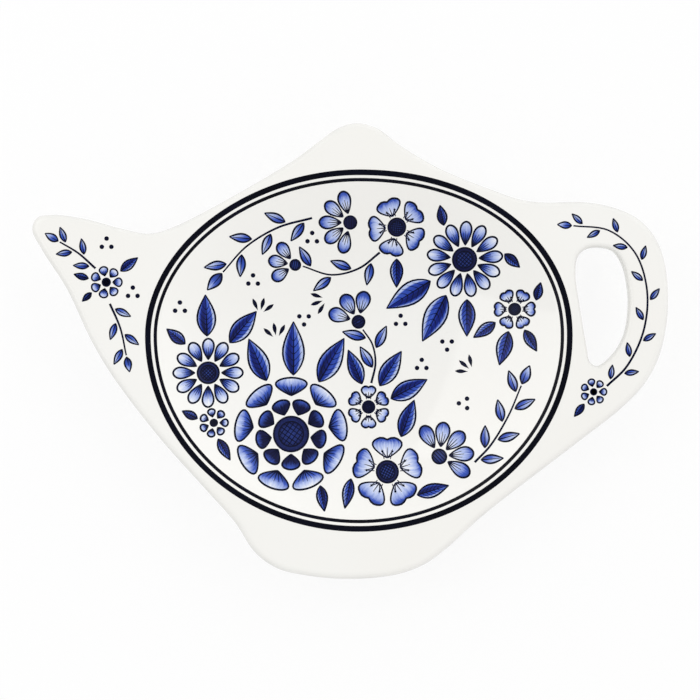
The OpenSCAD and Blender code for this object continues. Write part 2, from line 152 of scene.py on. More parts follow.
def open_curve(knots: np.ndarray, steps: int) -> np.ndarray:
    """An open smooth curve through all its knots.

    Args:
        knots: The knots, one a row.
        steps: Number of steps between two knots.

    Returns:
        The points, one a row.
    """
    ring = [2 * knots[0] - knots[1], *knots, 2 * knots[-1] - knots[-2]]
    spans = [curve_span(*ring[k : k + 4], steps) for k in range(len(knots) - 1)]
    return np.vstack([*spans, knots[-1:]])


def course(curve: np.ndarray, i: int) -> np.ndarray:
    """Unit direction of a curve at its point i."""
    along = curve[min(i + 1, len(curve) - 1)] - curve[max(i - 1, 0)]
    return along / np.linalg.norm(along)


def turn_of(way: np.ndarray) -> float:
    """Angle of a vector in degrees."""
    return math.degrees(math.atan2(way[1], way[0]))


def outward(curve: np.ndarray) -> np.ndarray:
    """Unit vectors that point out of a closed clockwise curve.

    Args:
        curve: Its points, one a row.

    Returns:
        The vector at each point, one a row.
    """
    along = np.roll(curve, -1, 0) - np.roll(curve, 1, 0)
    out = np.stack([-along[:, 1], along[:, 0]], 1)
    return out / np.linalg.norm(out, axis=1, keepdims=True)


def enclosed(loop: np.ndarray, points: np.ndarray) -> np.ndarray:
    """Which points lie inside a closed loop.

    Args:
        loop: The loop's points, one a row.
        points: The points to test, one a row.

    Returns:
        True for each point that is inside.
    """
    a, b = loop, np.roll(loop, -1, 0)
    x, y = points[:, :1], points[:, 1:]
    crosses = (a[:, 1] > y) != (b[:, 1] > y)
    rise = np.where(a[:, 1] == b[:, 1], 1.0, b[:, 1] - a[:, 1])
    meets = a[:, 0] + (y - a[:, 1]) * (b[:, 0] - a[:, 0]) / rise
    return (crosses & (x < meets)).sum(1) % 2 == 1


def layered_mesh(
    name: str, points: Sequence[Sequence[float]], edges: Sequence[tuple[int, int]] = (),
    faces: Sequence[tuple[int, ...]] = (), **layers: Sequence[float],
) -> bpy.types.Mesh:
    """A mesh whose points carry values.

    Args:
        name: Name of the mesh.
        points: Its points.
        edges: Its bare edges.
        faces: Its faces.
        **layers: The values that the points carry, by the layer's name.

    Returns:
        The mesh.
    """
    mesh = bpy.data.meshes.new(name)
    mesh.from_pydata(points, edges, faces)
    for title, values in layers.items():
        kind = LAYER_KINDS.get(title, "FLOAT")
        mesh.attributes.new(title, kind, "POINT").data.foreach_set("value", values)
    return mesh


def linked(name: str, data: bpy.types.ID) -> bpy.types.Object:
    """Adds an object to the scene.

    Args:
        name: Its name.
        data: Its mesh, lamp or camera.

    Returns:
        The object.
    """
    made = bpy.data.objects.new(name, data)
    bpy.context.scene.collection.objects.link(made)
    return made


@dataclass(frozen=True)
class Well:
    """The shallow oval well. Its deepest point is where the flange's and prints' places start.

    upper_right, upper_left and lower say how square its outline is there, where 2 is an ellipse. power is
    how steep its bowl is, where 2 is a parabola.
    """

    middle: Point = (1.7 * MM, 3.0 * MM)
    half_length: float = 41.9 * MM
    half_up: float = 32.6 * MM
    half_down: float = 38.4 * MM
    upper_right: float = 2.1
    upper_left: float = 1.93
    lower: float = 2.0
    flange_height: float = 13.4 * MM
    depth: float = 8.4 * MM
    lip_breadth: float = 3.0 * MM
    power: float = 2.2

    @property
    def floor_height(self) -> float:
        """Height of the glaze at the deepest point."""
        return self.flange_height - self.depth

    @property
    def lip_share(self) -> float:
        """Breadth of the rounded lip as a share of the well's radius."""
        return self.lip_breadth / self.half_length

    def radius(self, directions: np.ndarray) -> np.ndarray:
        """Distance of the lip from the deepest point.

        Args:
            directions: Unit directions, one a row.

        Returns:
            The distance in each direction.
        """
        x, y = directions[:, 0], directions[:, 1]
        power = np.where(y < 0, self.lower, np.where(x > 0, self.upper_right, self.upper_left))
        half_y = np.where(y > 0, self.half_up, self.half_down)
        across, upright = np.abs(x / self.half_length), np.abs(y / half_y)
        return 1 / (across**power + upright**power) ** (1 / power)

    def directions(self, stations: int) -> np.ndarray:
        """Unit directions from the deepest point that meet the lip at nearly even steps.

        Args:
            stations: Number of directions.

        Returns:
            The directions, clockwise, one a row.
        """
        turns = -2 * np.pi * np.arange(stations) / stations
        half_y = np.where(np.sin(turns) > 0, self.half_up, self.half_down)
        spokes = np.stack([self.half_length * np.cos(turns), half_y * np.sin(turns)], 1)
        return spokes / np.linalg.norm(spokes, axis=1, keepdims=True)


@dataclass(frozen=True)
class Underside:
    """The flatter bowl under the well, and the foot ring that the dish stands on."""

    wall: float = 3.4 * MM
    foot_height: float = 1.6 * MM
    foot_width: float = 3.0 * MM
    foot_inset: float = 13.0 * MM
    foot_round: float = 0.4 * MM
    fillet: float = 0.6 * MM
    lip_breadth: float = 6.0 * MM
    power: float = 3.0


@dataclass(frozen=True)
class Flange:
    """The flat rim with the teapot's outline, and the finger opening in its handle."""

    right: float = 60.8 * MM
    left: float = 64.2 * MM
    up: float = 41.8 * MM
    down: float = 47.8 * MM
    thickness: float = 3.7 * MM
    edge_round: float = 1.5 * MM
    grip_middle: Point = (47.7 * MM, 5.7 * MM)
    grip_half_width: float = 5.2 * MM
    grip_half_length: float = 11.6 * MM
    grip_round: float = 1.2 * MM
    outline_shares: Sequence[Point] = (
        (-0.008, 1), (0.057, 0.977), (0.141, 0.888), (0.263, 0.785), (0.425, 0.689),
        (0.522, 0.641), (0.603, 0.627), (0.725, 0.629), (0.819, 0.605), (0.897, 0.555),
        (0.952, 0.475), (0.984, 0.371), (1, 0.205), (0.994, 0.047), (0.968, -0.094),
        (0.922, -0.201), (0.845, -0.302), (0.709, -0.437), (0.402, -0.739), (0.283, -0.875),
        (0.212, -0.94), (0.121, -0.982), (-0.026, -1), (-0.16, -0.986), (-0.252, -0.955),
        (-0.319, -0.889), (-0.38, -0.766), (-0.469, -0.632), (-0.613, -0.415), (-0.753, -0.168),
        (-0.817, -0.025), (-0.894, 0.221), (-0.97, 0.404), (-1, 0.5), (-0.985, 0.555),
        (-0.936, 0.569), (-0.839, 0.55), (-0.729, 0.505), (-0.643, 0.481), (-0.57, 0.51),
        (-0.209, 0.816), (-0.124, 0.912), (-0.063, 0.977),
    )
    grip_shares: Sequence[Point] = (
        (-0.11, 1), (0.42, 0.94), (0.77, 0.71), (0.96, 0.35), (1, -0.04), (0.83, -0.48),
        (0.42, -0.8), (-0.15, -1), (-0.43, -0.94), (-0.57, -0.66), (-0.81, -0.02),
        (-0.98, 0.54), (-0.91, 0.83), (-0.6, 0.97),
    )

    def place(self, share: Point) -> np.ndarray:
        """A place on the flange from its shares of the four reaches."""
        x, y = share
        return np.array([x * (self.right if x > 0 else self.left), y * (self.up if y > 0 else self.down)])

    def outline(self, step: float) -> np.ndarray:
        """The dish's outline, clockwise from the lid's peak, held within the four reaches."""
        curve = closed_curve(np.array([self.place(s) for s in self.outline_shares]), step)
        return np.clip(curve, [-self.left, -self.down], [self.right, self.up])

    def grip(self, step: float) -> np.ndarray:
        """The finger opening's outline, clockwise from its top."""
        halves = np.array([self.grip_half_width, self.grip_half_length])
        return closed_curve(np.array(self.grip_shares) * halves + np.array(self.grip_middle), step)


WELL = Well()
UNDERSIDE = Underside()
FLANGE = Flange()
DEEPEST = np.array(WELL.middle)


class Wiring:
    """Adds nodes to a shader or geometry tree and links them, so that a rule reads as a sum."""

    def __init__(self, tree: bpy.types.NodeTree) -> None:
        """Keeps the tree that the nodes go into."""
        self.tree = tree

    @classmethod
    def of(cls, owner: bpy.types.Material | bpy.types.World) -> "Wiring":
        """Gives a material or a world an empty tree.

        Args:
            owner: The material or world.

        Returns:
            The tree's wiring.
        """
        owner.use_nodes = True
        owner.node_tree.nodes.clear()
        return cls(owner.node_tree)

    def feed(self, socket: Socket, value: object) -> None:
        """Links an input to another node's output, or sets its value.

        Args:
            socket: The input.
            value: A socket to link from, or the value itself.
        """
        if isinstance(value, bpy.types.NodeSocket):
            self.tree.links.new(value, socket)
        else:
            socket.default_value = value

    def node(self, kind: str, inputs: dict | None = None, **settings: object) -> bpy.types.Node:
        """Adds a node.

        Args:
            kind: Blender's name for the type of node.
            inputs: Value or socket for each input, by the input's name or number.
            **settings: The node's own settings.

        Returns:
            The node.
        """
        made = self.tree.nodes.new(kind)
        for name, value in settings.items():
            setattr(made, name, value)
        for name, value in (inputs or {}).items():
            self.feed(made.inputs[name], value)
        return made

    def math(self, operation: str, *terms: object) -> Socket:
        """The result of a Math node on the given terms."""
        return self.node("ShaderNodeMath", dict(enumerate(terms)), operation=operation).outputs[0]

    # Short names for the operations that are used most.
    plus = partialmethod(math, "ADD")
    minus = partialmethod(math, "SUBTRACT")
    times = partialmethod(math, "MULTIPLY")
    over = partialmethod(math, "DIVIDE")
    power = partialmethod(math, "POWER")

    def choose(self, flag: object, yes: object, no: object) -> Socket:
        """One value where the flag is 1 and another where it is 0."""
        return self.plus(no, self.times(flag, self.minus(yes, no)))

    def vector(self, x: object = 0.0, y: object = 0.0, z: object = 0.0) -> Socket:
        """A vector from its three parts."""
        return self.node("ShaderNodeCombineXYZ", {0: x, 1: y, 2: z}).outputs[0]

    def noise(self, place: object, scale: float, detail: float = 2.0) -> Socket:
        """A soft noise from 0 to 1 at a place, with scale as its lumps per metre."""
        inputs = {"Vector": place, "Scale": scale, "Detail": detail}
        return self.node("ShaderNodeTexNoise", inputs).outputs[0]

    def about(self, noise: object, spread: float) -> Socket:
        """A noise brought to vary about zero by the given spread."""
        return self.times(self.minus(noise, 0.5), spread)

    def blend(self, factor: object, first: object, second: object) -> Socket:
        """A colour between two, where a factor of 0 gives the first."""
        inputs = {0: factor, 6: first, 7: second}  # its inputs 6 and 7 and its output 2 are colours
        return self.node("ShaderNodeMix", inputs, data_type="RGBA").outputs[2]

    def painted(self, name: str) -> Socket:
        """A number that the mesh carries at each point."""
        return self.node("ShaderNodeAttribute", attribute_name=name).outputs["Fac"]


class Rule:
    """A Geometry Nodes tree with named inputs, which is run on a mesh to make a piece."""

    def __init__(self, name: str, inputs: Inputs) -> None:
        """Makes the tree with its inputs.

        Args:
            name: Name of the tree.
            inputs: By name, the first value of a number, or else the kind of thing that it takes.
        """
        self.tree = bpy.data.node_groups.new(name, "GeometryNodeTree")
        self.wiring = Wiring(self.tree)
        for way in ("INPUT", "OUTPUT"):
            self.tree.interface.new_socket("Geometry", in_out=way, socket_type="NodeSocketGeometry")
        for title, value in inputs.items():
            kind = value if isinstance(value, str) else type(value).__name__.capitalize()
            made = self.tree.interface.new_socket(title, in_out="INPUT", socket_type=f"NodeSocket{kind}")
            if not isinstance(value, str):
                made.default_value = value
        self.given = self.tree.nodes.new("NodeGroupInput").outputs

    def carried(self, name: str) -> Socket:
        """What each point of the geometry carries in a layer."""
        kind = LAYER_KINDS.get(name, "FLOAT")
        return self.wiring.node("GeometryNodeInputNamedAttribute", {"Name": name}, data_type=kind).outputs[0]

    def stamp(self, kit: Socket, shade: bool = False) -> Socket:
        """Puts the shapes of a kit on the marks, each turned and sized as its mark says.

        Args:
            kit: The collection of shapes.
            shade: True to give each stamped shape a random number of its own.

        Returns:
            The stamped shapes as real geometry.
        """
        w = self.wiring
        shapes = w.node("GeometryNodeCollectionInfo", {"Collection": kit, "Separate Children": True})
        stamps = {
            "Points": self.given["Geometry"], "Instance": shapes.outputs[0], "Pick Instance": True,
            "Instance Index": self.carried("motif"),
            "Rotation": w.vector(z=self.carried("turn")),
            "Scale": w.vector(self.carried("long"), self.carried("wide"), 1.0),
        }
        placed = w.node("GeometryNodeInstanceOnPoints", stamps).outputs[0]
        if shade:
            random = w.node("FunctionNodeRandomValue", {"Seed": self.given["Seed"]}, data_type="FLOAT")
            kept = {"Geometry": placed, "Name": "shade", "Value": random.outputs[1]}
            placed = w.node(
                "GeometryNodeStoreNamedAttribute", kept, data_type="FLOAT", domain="INSTANCE"
            ).outputs[0]
        return w.node("GeometryNodeRealizeInstances", {0: placed}).outputs[0]

    def join(self, *parts: Socket) -> Socket:
        """Several geometries as one.

        Args:
            *parts: The geometries.

        Returns:
            The joined geometry.
        """
        node = self.wiring.node("GeometryNodeJoinGeometry")
        for part in parts:
            self.wiring.feed(node.inputs[0], part)
        return node.outputs[0]

    def sweep(self, paths: Socket, width: Socket, height: Socket, cuts: object, scale: object) -> Socket:
        """Sweeps a flat rectangular section along bare edges that lie level.

        Args:
            paths: The mesh of bare edges.
            width: Width of the section.
            height: Height of the section.
            cuts: Further points in each side of the section.
            scale: Size of the section at each point of the paths.

        Returns:
            The closed strips.
        """
        w = self.wiring
        curves = w.node("GeometryNodeMeshToCurve", {"Mesh": paths}).outputs[0]
        level = w.node("GeometryNodeSetCurveNormal", {"Curve": curves}, mode="Z_UP").outputs[0]
        section = w.node("GeometryNodeCurvePrimitiveQuadrilateral", {"Width": width, "Height": height})
        finer = w.node("GeometryNodeSubdivideCurve", {"Curve": section.outputs[0], "Cuts": cuts})
        swept = {"Curve": level, "Profile Curve": finer.outputs[0], "Scale": scale, "Fill Caps": True}
        return w.node("GeometryNodeCurveToMesh", swept).outputs[0]

    def raised(self, geometry: Socket, by: object, only: object = True) -> Socket:
        """Moves the points of a geometry up.

        Args:
            geometry: The geometry.
            by: How far up each point moves.
            only: Which points move.

        Returns:
            The moved geometry.
        """
        w = self.wiring
        inputs = {"Geometry": geometry, "Selection": only, "Offset": w.vector(z=by)}
        return w.node("GeometryNodeSetPosition", inputs).outputs[0]

    def end(self, geometry: Socket) -> None:
        """Realises the geometry, gives it its material and sends it out of the tree.

        Args:
            geometry: What the tree has made.
        """
        w = self.wiring
        real = w.node("GeometryNodeRealizeInstances", {0: geometry}).outputs[0]
        dress = {"Geometry": real, "Material": self.given["Material"]}
        w.node("NodeGroupOutput", {0: w.node("GeometryNodeSetMaterial", dress).outputs[0]})

    def run(self, name: str, base: bpy.types.Mesh, values: dict[str, object]) -> bpy.types.Mesh:
        """Runs the tree on a mesh.

        Args:
            name: Name of the mesh that comes out.
            base: The mesh that goes in.
            values: Values for the tree's inputs, by name.

        Returns:
            The plain mesh that the tree makes.
        """
        holder = linked(name, base)
        modifier = holder.modifiers.new(self.tree.name, "NODES")
        modifier.node_group = self.tree
        for item in self.tree.interface.items_tree:
            if item.in_out == "INPUT" and item.name in values:
                modifier[item.identifier] = values[item.name]
        evaluated = holder.evaluated_get(bpy.context.evaluated_depsgraph_get())
        made = bpy.data.meshes.new_from_object(evaluated)
        made.name = name
        holder.modifiers.remove(modifier)
        bpy.data.objects.remove(holder)
        return made


WELL_INPUTS: Inputs = {
    "Middle X": WELL.middle[0],
    "Middle Y": WELL.middle[1],
    "Half Length": WELL.half_length,
    "Half Up": WELL.half_up,
    "Half Down": WELL.half_down,
    "Floor Height": WELL.floor_height,
    "Depth": WELL.depth,
    "Lip Share": WELL.lip_share,
    "Power": WELL.power,
    "Material": "Material",
}


class OvalRule(Rule):
    """A tree that knows the well's oval, for whatever is raised into it or laid on its glaze."""

    def __init__(self, name: str, inputs: Inputs) -> None:
        """Makes the tree with the well's sizes among its inputs.

        Args:
            name: Name of the tree.
            inputs: Its other inputs.
        """
        super().__init__(name, {**WELL_INPUTS, **inputs})
        w, given = self.wiring, self.given
        place = w.node("ShaderNodeSeparateXYZ", {0: w.node("GeometryNodeInputPosition").outputs[0]})
        self.level = place.outputs[2]
        x = w.minus(place.outputs[0], given["Middle X"])
        y = w.minus(place.outputs[1], given["Middle Y"])
        above = w.math("GREATER_THAN", y, 0.0)
        right = w.math("GREATER_THAN", x, 0.0)
        power = w.choose(above, w.choose(right, WELL.upper_right, WELL.upper_left), WELL.lower)
        across = w.math("ABSOLUTE", w.over(x, given["Half Length"]))
        half_y = w.choose(above, given["Half Up"], given["Half Down"])
        upright = w.math("ABSOLUTE", w.over(y, half_y))
        total = w.plus(w.power(across, power), w.power(upright, power))
        self.share = w.math("MINIMUM", w.power(total, w.over(1.0, power)), 1.0)

    def bowl(self, floor: object, rise: object, lip: object, power: object) -> Socket:
        """Height of a bowl over the oval, rounded over at its lip and flat beyond it.

        Args:
            floor: Height of its floor.
            rise: Its rise from the floor to the lip.
            lip: Breadth of its rounded lip, as a share of the radius.
            power: Its steepness, where 2 is a parabola.

        Returns:
            The height at each point.
        """
        w = self.wiring
        start = w.minus(1.0, lip)
        ease = w.over(w.times(power, lip), w.times(2.0, start))
        low = w.over(rise, w.plus(1.0, ease))
        slope = w.over(w.times(low, power), start)
        inner = w.times(low, w.power(w.over(self.share, start), power))
        past = w.minus(self.share, start)
        bend = w.over(w.times(past, past), w.times(2.0, lip))
        outer = w.plus(low, w.times(slope, w.minus(past, bend)))
        return w.plus(floor, w.choose(w.math("LESS_THAN", self.share, start), inner, outer))

    def glaze(self) -> Socket:
        """Height of the glaze at each point."""
        given = self.given
        return self.bowl(given["Floor Height"], given["Depth"], given["Lip Share"], given["Power"])

    def laid(self, geometry: Socket) -> Socket:
        """Lays a flat print on the glaze, with its tops at the film's height and the rest sunk in.

        Args:
            geometry: The print, whose tops are above 0.

        Returns:
            The print on the glaze.
        """
        w = self.wiring
        sunk = w.times(self.given["Sunk"], -1.0)
        top = w.choose(w.math("GREATER_THAN", self.level, 0.0), self.given["Film"], sunk)
        return self.raised(geometry, w.minus(w.plus(self.glaze(), top), self.level))


def raising_rule() -> OvalRule:
    """The tree that raises the dish's plan into its well and into the bowl under it.

    Returns:
        The tree.
    """
    rule = OvalRule("raise_dish", {
        "Under Floor": UNDERSIDE.foot_height,
        "Under Rise": WELL.depth + UNDERSIDE.wall - FLANGE.thickness,
        "Under Lip Share": UNDERSIDE.lip_breadth / WELL.half_length,
        "Under Power": UNDERSIDE.power,
    })
    given = rule.given
    under = rule.bowl(
        given["Under Floor"], given["Under Rise"], given["Under Lip Share"], given["Under Power"]
    )
    top = rule.raised(given["Geometry"], rule.glaze(), rule.carried("in_well"))
    rule.end(rule.raised(top, under, rule.carried("in_under")))
    return rule


def banding_rule() -> OvalRule:
    """The tree that lays a band of colour along a closed line on the lip.

    Returns:
        The tree.
    """
    rule = OvalRule("lay_band", {"Band Width": 1.1 * MM, "Band Height": 0.04 * MM, "Cuts": 5})
    given = rule.given
    strip = rule.sweep(given["Geometry"], given["Band Width"], given["Band Height"], given["Cuts"], 1.0)
    rule.end(rule.raised(strip, rule.glaze()))
    return rule


def washing_rule() -> OvalRule:
    """The tree that stamps tinted petals or leaves on their marks.

    Returns:
        The tree.
    """
    rule = OvalRule("stamp_washes", {
        "Kit": "Collection", "Film": 0.01 * MM, "Sunk": 0.02 * MM, "Seed": 11,
    })
    rule.end(rule.laid(rule.stamp(rule.given["Kit"], shade=True)))
    return rule


def inking_rule() -> OvalRule:
    """The tree that draws the inked lines of the motifs and stems, and stamps the solid strokes.

    Returns:
        The tree.
    """
    rule = OvalRule("draw_ink", {
        "Line Kit": "Collection", "Solid Kit": "Collection", "Routes": "Object",
        "Line Width": 0.27 * MM, "Film": 0.025 * MM, "Sunk": 0.02 * MM,
    })
    w, given = rule.wiring, rule.given
    routes = w.node("GeometryNodeObjectInfo", {"Object": given["Routes"]}).outputs["Geometry"]
    paths = rule.join(routes, rule.stamp(given["Line Kit"]))
    strokes = rule.sweep(paths, given["Line Width"], given["Film"], 0, rule.carried("pressure"))
    rule.end(rule.laid(rule.join(strokes, rule.stamp(given["Solid Kit"]))))
    return rule


def settle(node: str, mesh: bpy.types.Mesh) -> bpy.types.Object:
    """Adds a finished piece in the place of a CAD node.

    Args:
        node: Name of the CAD node that it stands for.
        mesh: Its mesh, in the part's frame.

    Returns:
        The piece.
    """
    piece = linked(f"{node}_dressed", mesh)
    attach(piece, ROOT)
    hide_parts(node)
    LOG.info("%s: %d faces", piece.name, len(mesh.polygons))
    return piece


@dataclass(frozen=True)
class Finish:
    """What every fired surface here shares: a clear gloss with its soft ripples."""

    name: str
    roughness: float = 0.07
    roughness_spread: float = 0.05
    roughness_scale: float = 140.0
    specular: float = 0.5
    ripple_scale: float = 85.0
    ripple_depth: float = 0.016 * MM
    peel_scale: float = 520.0
    peel_depth: float = 0.0015 * MM

    def material(self) -> bpy.types.Material:
        """The finish as a node material.

        Returns:
            The material.
        """
        material = bpy.data.materials.new(self.name)
        w = Wiring.of(material)
        shader = w.node("ShaderNodeBsdfPrincipled", {"Specular IOR Level": self.specular})
        w.node("ShaderNodeOutputMaterial", {"Surface": shader.outputs[0]})
        place = w.node("ShaderNodeTexCoord").outputs["Object"]
        self.gloss(w, shader, place)
        w.feed(shader.inputs["Base Color"], self.colour(w, place))
        return material

    def gloss(self, w: Wiring, shader: bpy.types.Node, place: Socket) -> None:
        """Gives the shader its roughness and the glaze's ripples.

        Args:
            w: The material's wiring.
            shader: The surface shader.
            place: Object coordinates.
        """
        uneven = w.about(w.noise(place, self.roughness_scale), self.roughness_spread)
        w.feed(shader.inputs["Roughness"], w.plus(self.roughness, uneven))
        broad = w.about(w.noise(place, self.ripple_scale, detail=1.0), self.ripple_depth)
        fine = w.about(w.noise(place, self.peel_scale, detail=1.0), self.peel_depth)
        bump = {"Height": w.plus(broad, fine), "Distance": 1.0, "Strength": 1.0}
        w.feed(shader.inputs["Normal"], w.node("ShaderNodeBump", bump).outputs[0])

    def colour(self, w: Wiring, place: Socket) -> Socket:
        """The colour under the gloss, which each finish makes in its own way."""
        raise NotImplementedError(self.name)


@dataclass(frozen=True)
class Glaze(Finish):
    """Warm white glaze, greyed on the rounded edges as thinner glaze and painted shade, over a buff clay
    that the foot leaves bare.
    """

    name: str = "glaze"
    white: Colour = srgb(248, 248, 245)
    cream: Colour = srgb(245, 243, 238)
    drift_scale: float = 32.0
    # thin is the grey of the rounded edges: partly the thinner glaze there, partly painted shade for the
    # dimmer light on the rounding.
    thin: Colour = srgb(204, 204, 201)
    thin_share: float = 0.55
    thin_spread: float = 0.7
    thin_scale: float = 210.0
    clay: Colour = srgb(205, 193, 174)
    grit: Colour = srgb(222, 211, 194)
    grit_scale: float = 2600.0
    grit_detail: float = 4.0
    clay_roughness: float = 0.85
    bare_height: float = 0.3 * MM
    bare_spread: float = 0.16 * MM
    bare_scale: float = 700.0

    def bare(self, w: Wiring, place: Socket) -> Socket:
        """1 where the clay is bare, with the ragged edge of wiped glaze, and 0 elsewhere.

        Args:
            w: The material's wiring.
            place: Object coordinates.

        Returns:
            The 1 or 0.
        """
        z = w.node("ShaderNodeSeparateXYZ", {0: place}).outputs[2]
        ragged = w.about(w.noise(place, self.bare_scale), self.bare_spread)
        line = w.plus(self.bare_height, ragged)
        return w.math("LESS_THAN", z, line)

    def gloss(self, w: Wiring, shader: bpy.types.Node, place: Socket) -> None:
        """Gives the shader the glaze's gloss, and the bare clay a dry one.

        Args:
            w: The material's wiring.
            shader: The surface shader.
            place: Object coordinates.
        """
        super().gloss(w, shader, place)
        glossy = shader.inputs["Roughness"].links[0].from_socket
        w.feed(shader.inputs["Roughness"], w.choose(self.bare(w, place), self.clay_roughness, glossy))

    def colour(self, w: Wiring, place: Socket) -> Socket:
        """The glaze's slow change of tone, its edges greyed as thinner glaze and painted shade, and the bare
        clay with its grit.

        Args:
            w: The material's wiring.
            place: Object coordinates.

        Returns:
            The colour.
        """
        body = w.blend(w.noise(place, self.drift_scale), self.white, self.cream)
        # Painted shade: the edge layer greys the rounded edges, partly as thinner glaze and partly standing
        # in for their dimmer light.
        patchy = w.plus(self.thin_share, w.about(w.noise(place, self.thin_scale), self.thin_spread))
        glazed = w.blend(w.times(w.painted("edge"), patchy), body, self.thin)
        gritty = w.blend(w.noise(place, self.grit_scale, self.grit_detail), self.clay, self.grit)
        return w.blend(self.bare(w, place), glazed, gritty)


@dataclass(frozen=True)
class BandInk(Finish):
    """Blue-black banding colour, laid by brush, a little uneven along the ring."""

    name: str = "band_ink"
    deep: Colour = srgb(1, 2, 8)
    lighter: Colour = srgb(12, 16, 40)
    roughness: float = 0.09
    specular: float = 0.1
    patch_scale: float = 130.0
    patch_detail: float = 4.0
    patch_power: float = 2.2

    def colour(self, w: Wiring, place: Socket) -> Socket:
        """Deep blue-black with thinner patches where the brush ran dry."""
        patches = w.power(w.noise(place, self.patch_scale, self.patch_detail), self.patch_power)
        return w.blend(patches, self.deep, self.lighter)


@dataclass(frozen=True)
class PrintWash(Finish):
    """The petals' blue wash, which deepens with the tone painted on each shape and is streaked."""

    name: str = "petal_blue"
    stops: Sequence[tuple[float, Colour]] = (
        (0.0, srgb(238, 241, 249)), (0.28, srgb(172, 188, 234)),
        (0.56, srgb(58, 88, 188)), (1.0, srgb(3, 8, 60)),
    )
    streak: float = 0.46
    streak_along: float = 1.8
    streak_across: float = 8.0
    streak_shift: float = 40.0
    streak_detail: float = 3.0
    shade: float = 0.18
    grain: float = 0.12
    grain_scale: float = 3200.0
    specular: float = 0.25

    def colour(self, w: Wiring, place: Socket) -> Socket:
        """The wash's colour from its tone, its streaks, the shape's own shade and a fine grain.

        Args:
            w: The material's wiring.
            place: Object coordinates.

        Returns:
            The colour.
        """
        tone, shade = w.painted("tone"), w.painted("shade")
        along = w.times(w.painted("along"), self.streak_along)
        across = w.times(w.painted("across"), self.streak_across)
        stroke = w.vector(along, across, w.times(shade, self.streak_shift))
        brush = w.noise(stroke, scale=1.0, detail=self.streak_detail)
        fine = w.noise(place, self.grain_scale)
        for noise, spread in ((brush, self.streak), (shade, self.shade), (fine, self.grain)):
            tone = w.plus(tone, w.about(noise, spread))
        ramp = w.node("ShaderNodeValToRGB", {0: tone})
        elements = ramp.color_ramp.elements
        for spot, colour in self.stops[1:-1]:
            elements.new(spot).color = colour
        elements[0].color = self.stops[0][1]
        elements[-1].color = self.stops[-1][1]
        return ramp.outputs[0]


@dataclass(frozen=True)
class LeafWash(PrintWash):
    """The deeper blue of the leaves."""

    name: str = "leaf_blue"
    stops: Sequence[tuple[float, Colour]] = (
        (0.0, srgb(184, 198, 236)), (0.3, srgb(56, 88, 192)),
        (0.62, srgb(14, 36, 132)), (1.0, srgb(1, 6, 46)),
    )
    streak: float = 0.42


@dataclass(frozen=True)
class LineInk(Finish):
    """Blue-black drawing ink, a little lighter here and there."""

    name: str = "line_ink"
    deep: Colour = srgb(3, 4, 15)
    lighter: Colour = srgb(13, 19, 54)
    drift_scale: float = 600.0
    drift_detail: float = 3.0
    specular: float = 0.1

    def colour(self, w: Wiring, place: Socket) -> Socket:
        """Deep ink with lighter stretches."""
        return w.blend(w.noise(place, self.drift_scale, self.drift_detail), self.deep, self.lighter)


@dataclass
class Skin:
    """Collects the loops and faces of one closed skin, with what each point carries.

    in_well and in_under are 1 for points that are raised into the well or into the bowl under it, edge is
    how far the glaze is greyed, 0 to 1, for thinner glaze and, on the rounded edges, as painted shade, and
    level is 1 or -1 where the skin is level and faces up or down.
    """

    points: list[tuple[float, float, float]] = field(default_factory=list)
    faces: list[tuple[int, ...]] = field(default_factory=list)
    layers: dict[str, list[float]] = field(default_factory=dict)

    def loop(self, plan: np.ndarray, z: float, **values: float) -> np.ndarray:
        """Adds a loop of points.

        Args:
            plan: Their places in plan, measured from the well's deepest point.
            z: Their height, or their height over the bowl that they are raised into.
            **values: What they carry in each layer, where that isn't 0.

        Returns:
            The numbers of the points.
        """
        start, count = len(self.points), len(plan)
        self.points += [(x + DEEPEST[0], y + DEEPEST[1], z) for x, y in plan]
        for title in SKIN_LAYERS:
            self.layers.setdefault(title, []).extend([values.get(title, 0)] * count)
        return np.arange(start, start + count)

    def bridge(self, loops: Sequence[np.ndarray]) -> None:
        """Joins each loop to the next with four-sided faces.

        Args:
            loops: Numbers of each loop's points.
        """
        for low, high in zip(loops, loops[1:]):
            for a, b, c, d in zip(low, np.roll(low, -1), np.roll(high, -1), high):
                self.faces.append((int(a), int(b), int(c), int(d)))

    def fan(self, loop: np.ndarray, **values: float) -> None:
        """Closes a loop to a point over the well's deepest point, which carries the given values."""
        hub = int(self.loop(np.zeros((1, 2)), 0, **values)[0])
        self.faces += [(int(a), int(b), hub) for a, b in zip(loop, np.roll(loop, -1))]

    def fill(self, outer: np.ndarray, *openings: np.ndarray) -> None:
        """Fills the level face between a loop and the openings in it.

        Args:
            outer: Numbers of the outer loop's points.
            *openings: Numbers of each opening's points.
        """
        loops = (outer, *openings)
        ids = np.concatenate(loops)
        plan = np.array([self.points[i][:2] for i in ids]) / MM
        edges, start = [], 0
        for loop in loops:
            edges += [(start + k, start + (k + 1) % len(loop)) for k in range(len(loop))]
            start += len(loop)
        # The 1 asks for the triangles inside the edges only. Those in an opening are left out after it.
        made = delaunay_2d_cdt([Vector(p) for p in plan], edges, [], 1, WELD_DISTANCE)
        places, triangles, origins = np.array(made[0]), made[2], made[3]
        source = [ids[origin[0]] for origin in origins]
        middles = np.array([places[list(f)].mean(0) for f in triangles])
        kept = np.ones(len(middles), bool)
        start = len(outer)
        for loop in openings:
            kept &= ~enclosed(plan[start : start + len(loop)], middles)
            start += len(loop)
        self.faces += [tuple(int(source[i]) for i in f) for f, keep in zip(triangles, kept) if keep]

    def mesh(self, name: str) -> bpy.types.Mesh:
        """The skin as a mesh with its layers."""
        return layered_mesh(name, self.points, faces=self.faces, **self.layers)


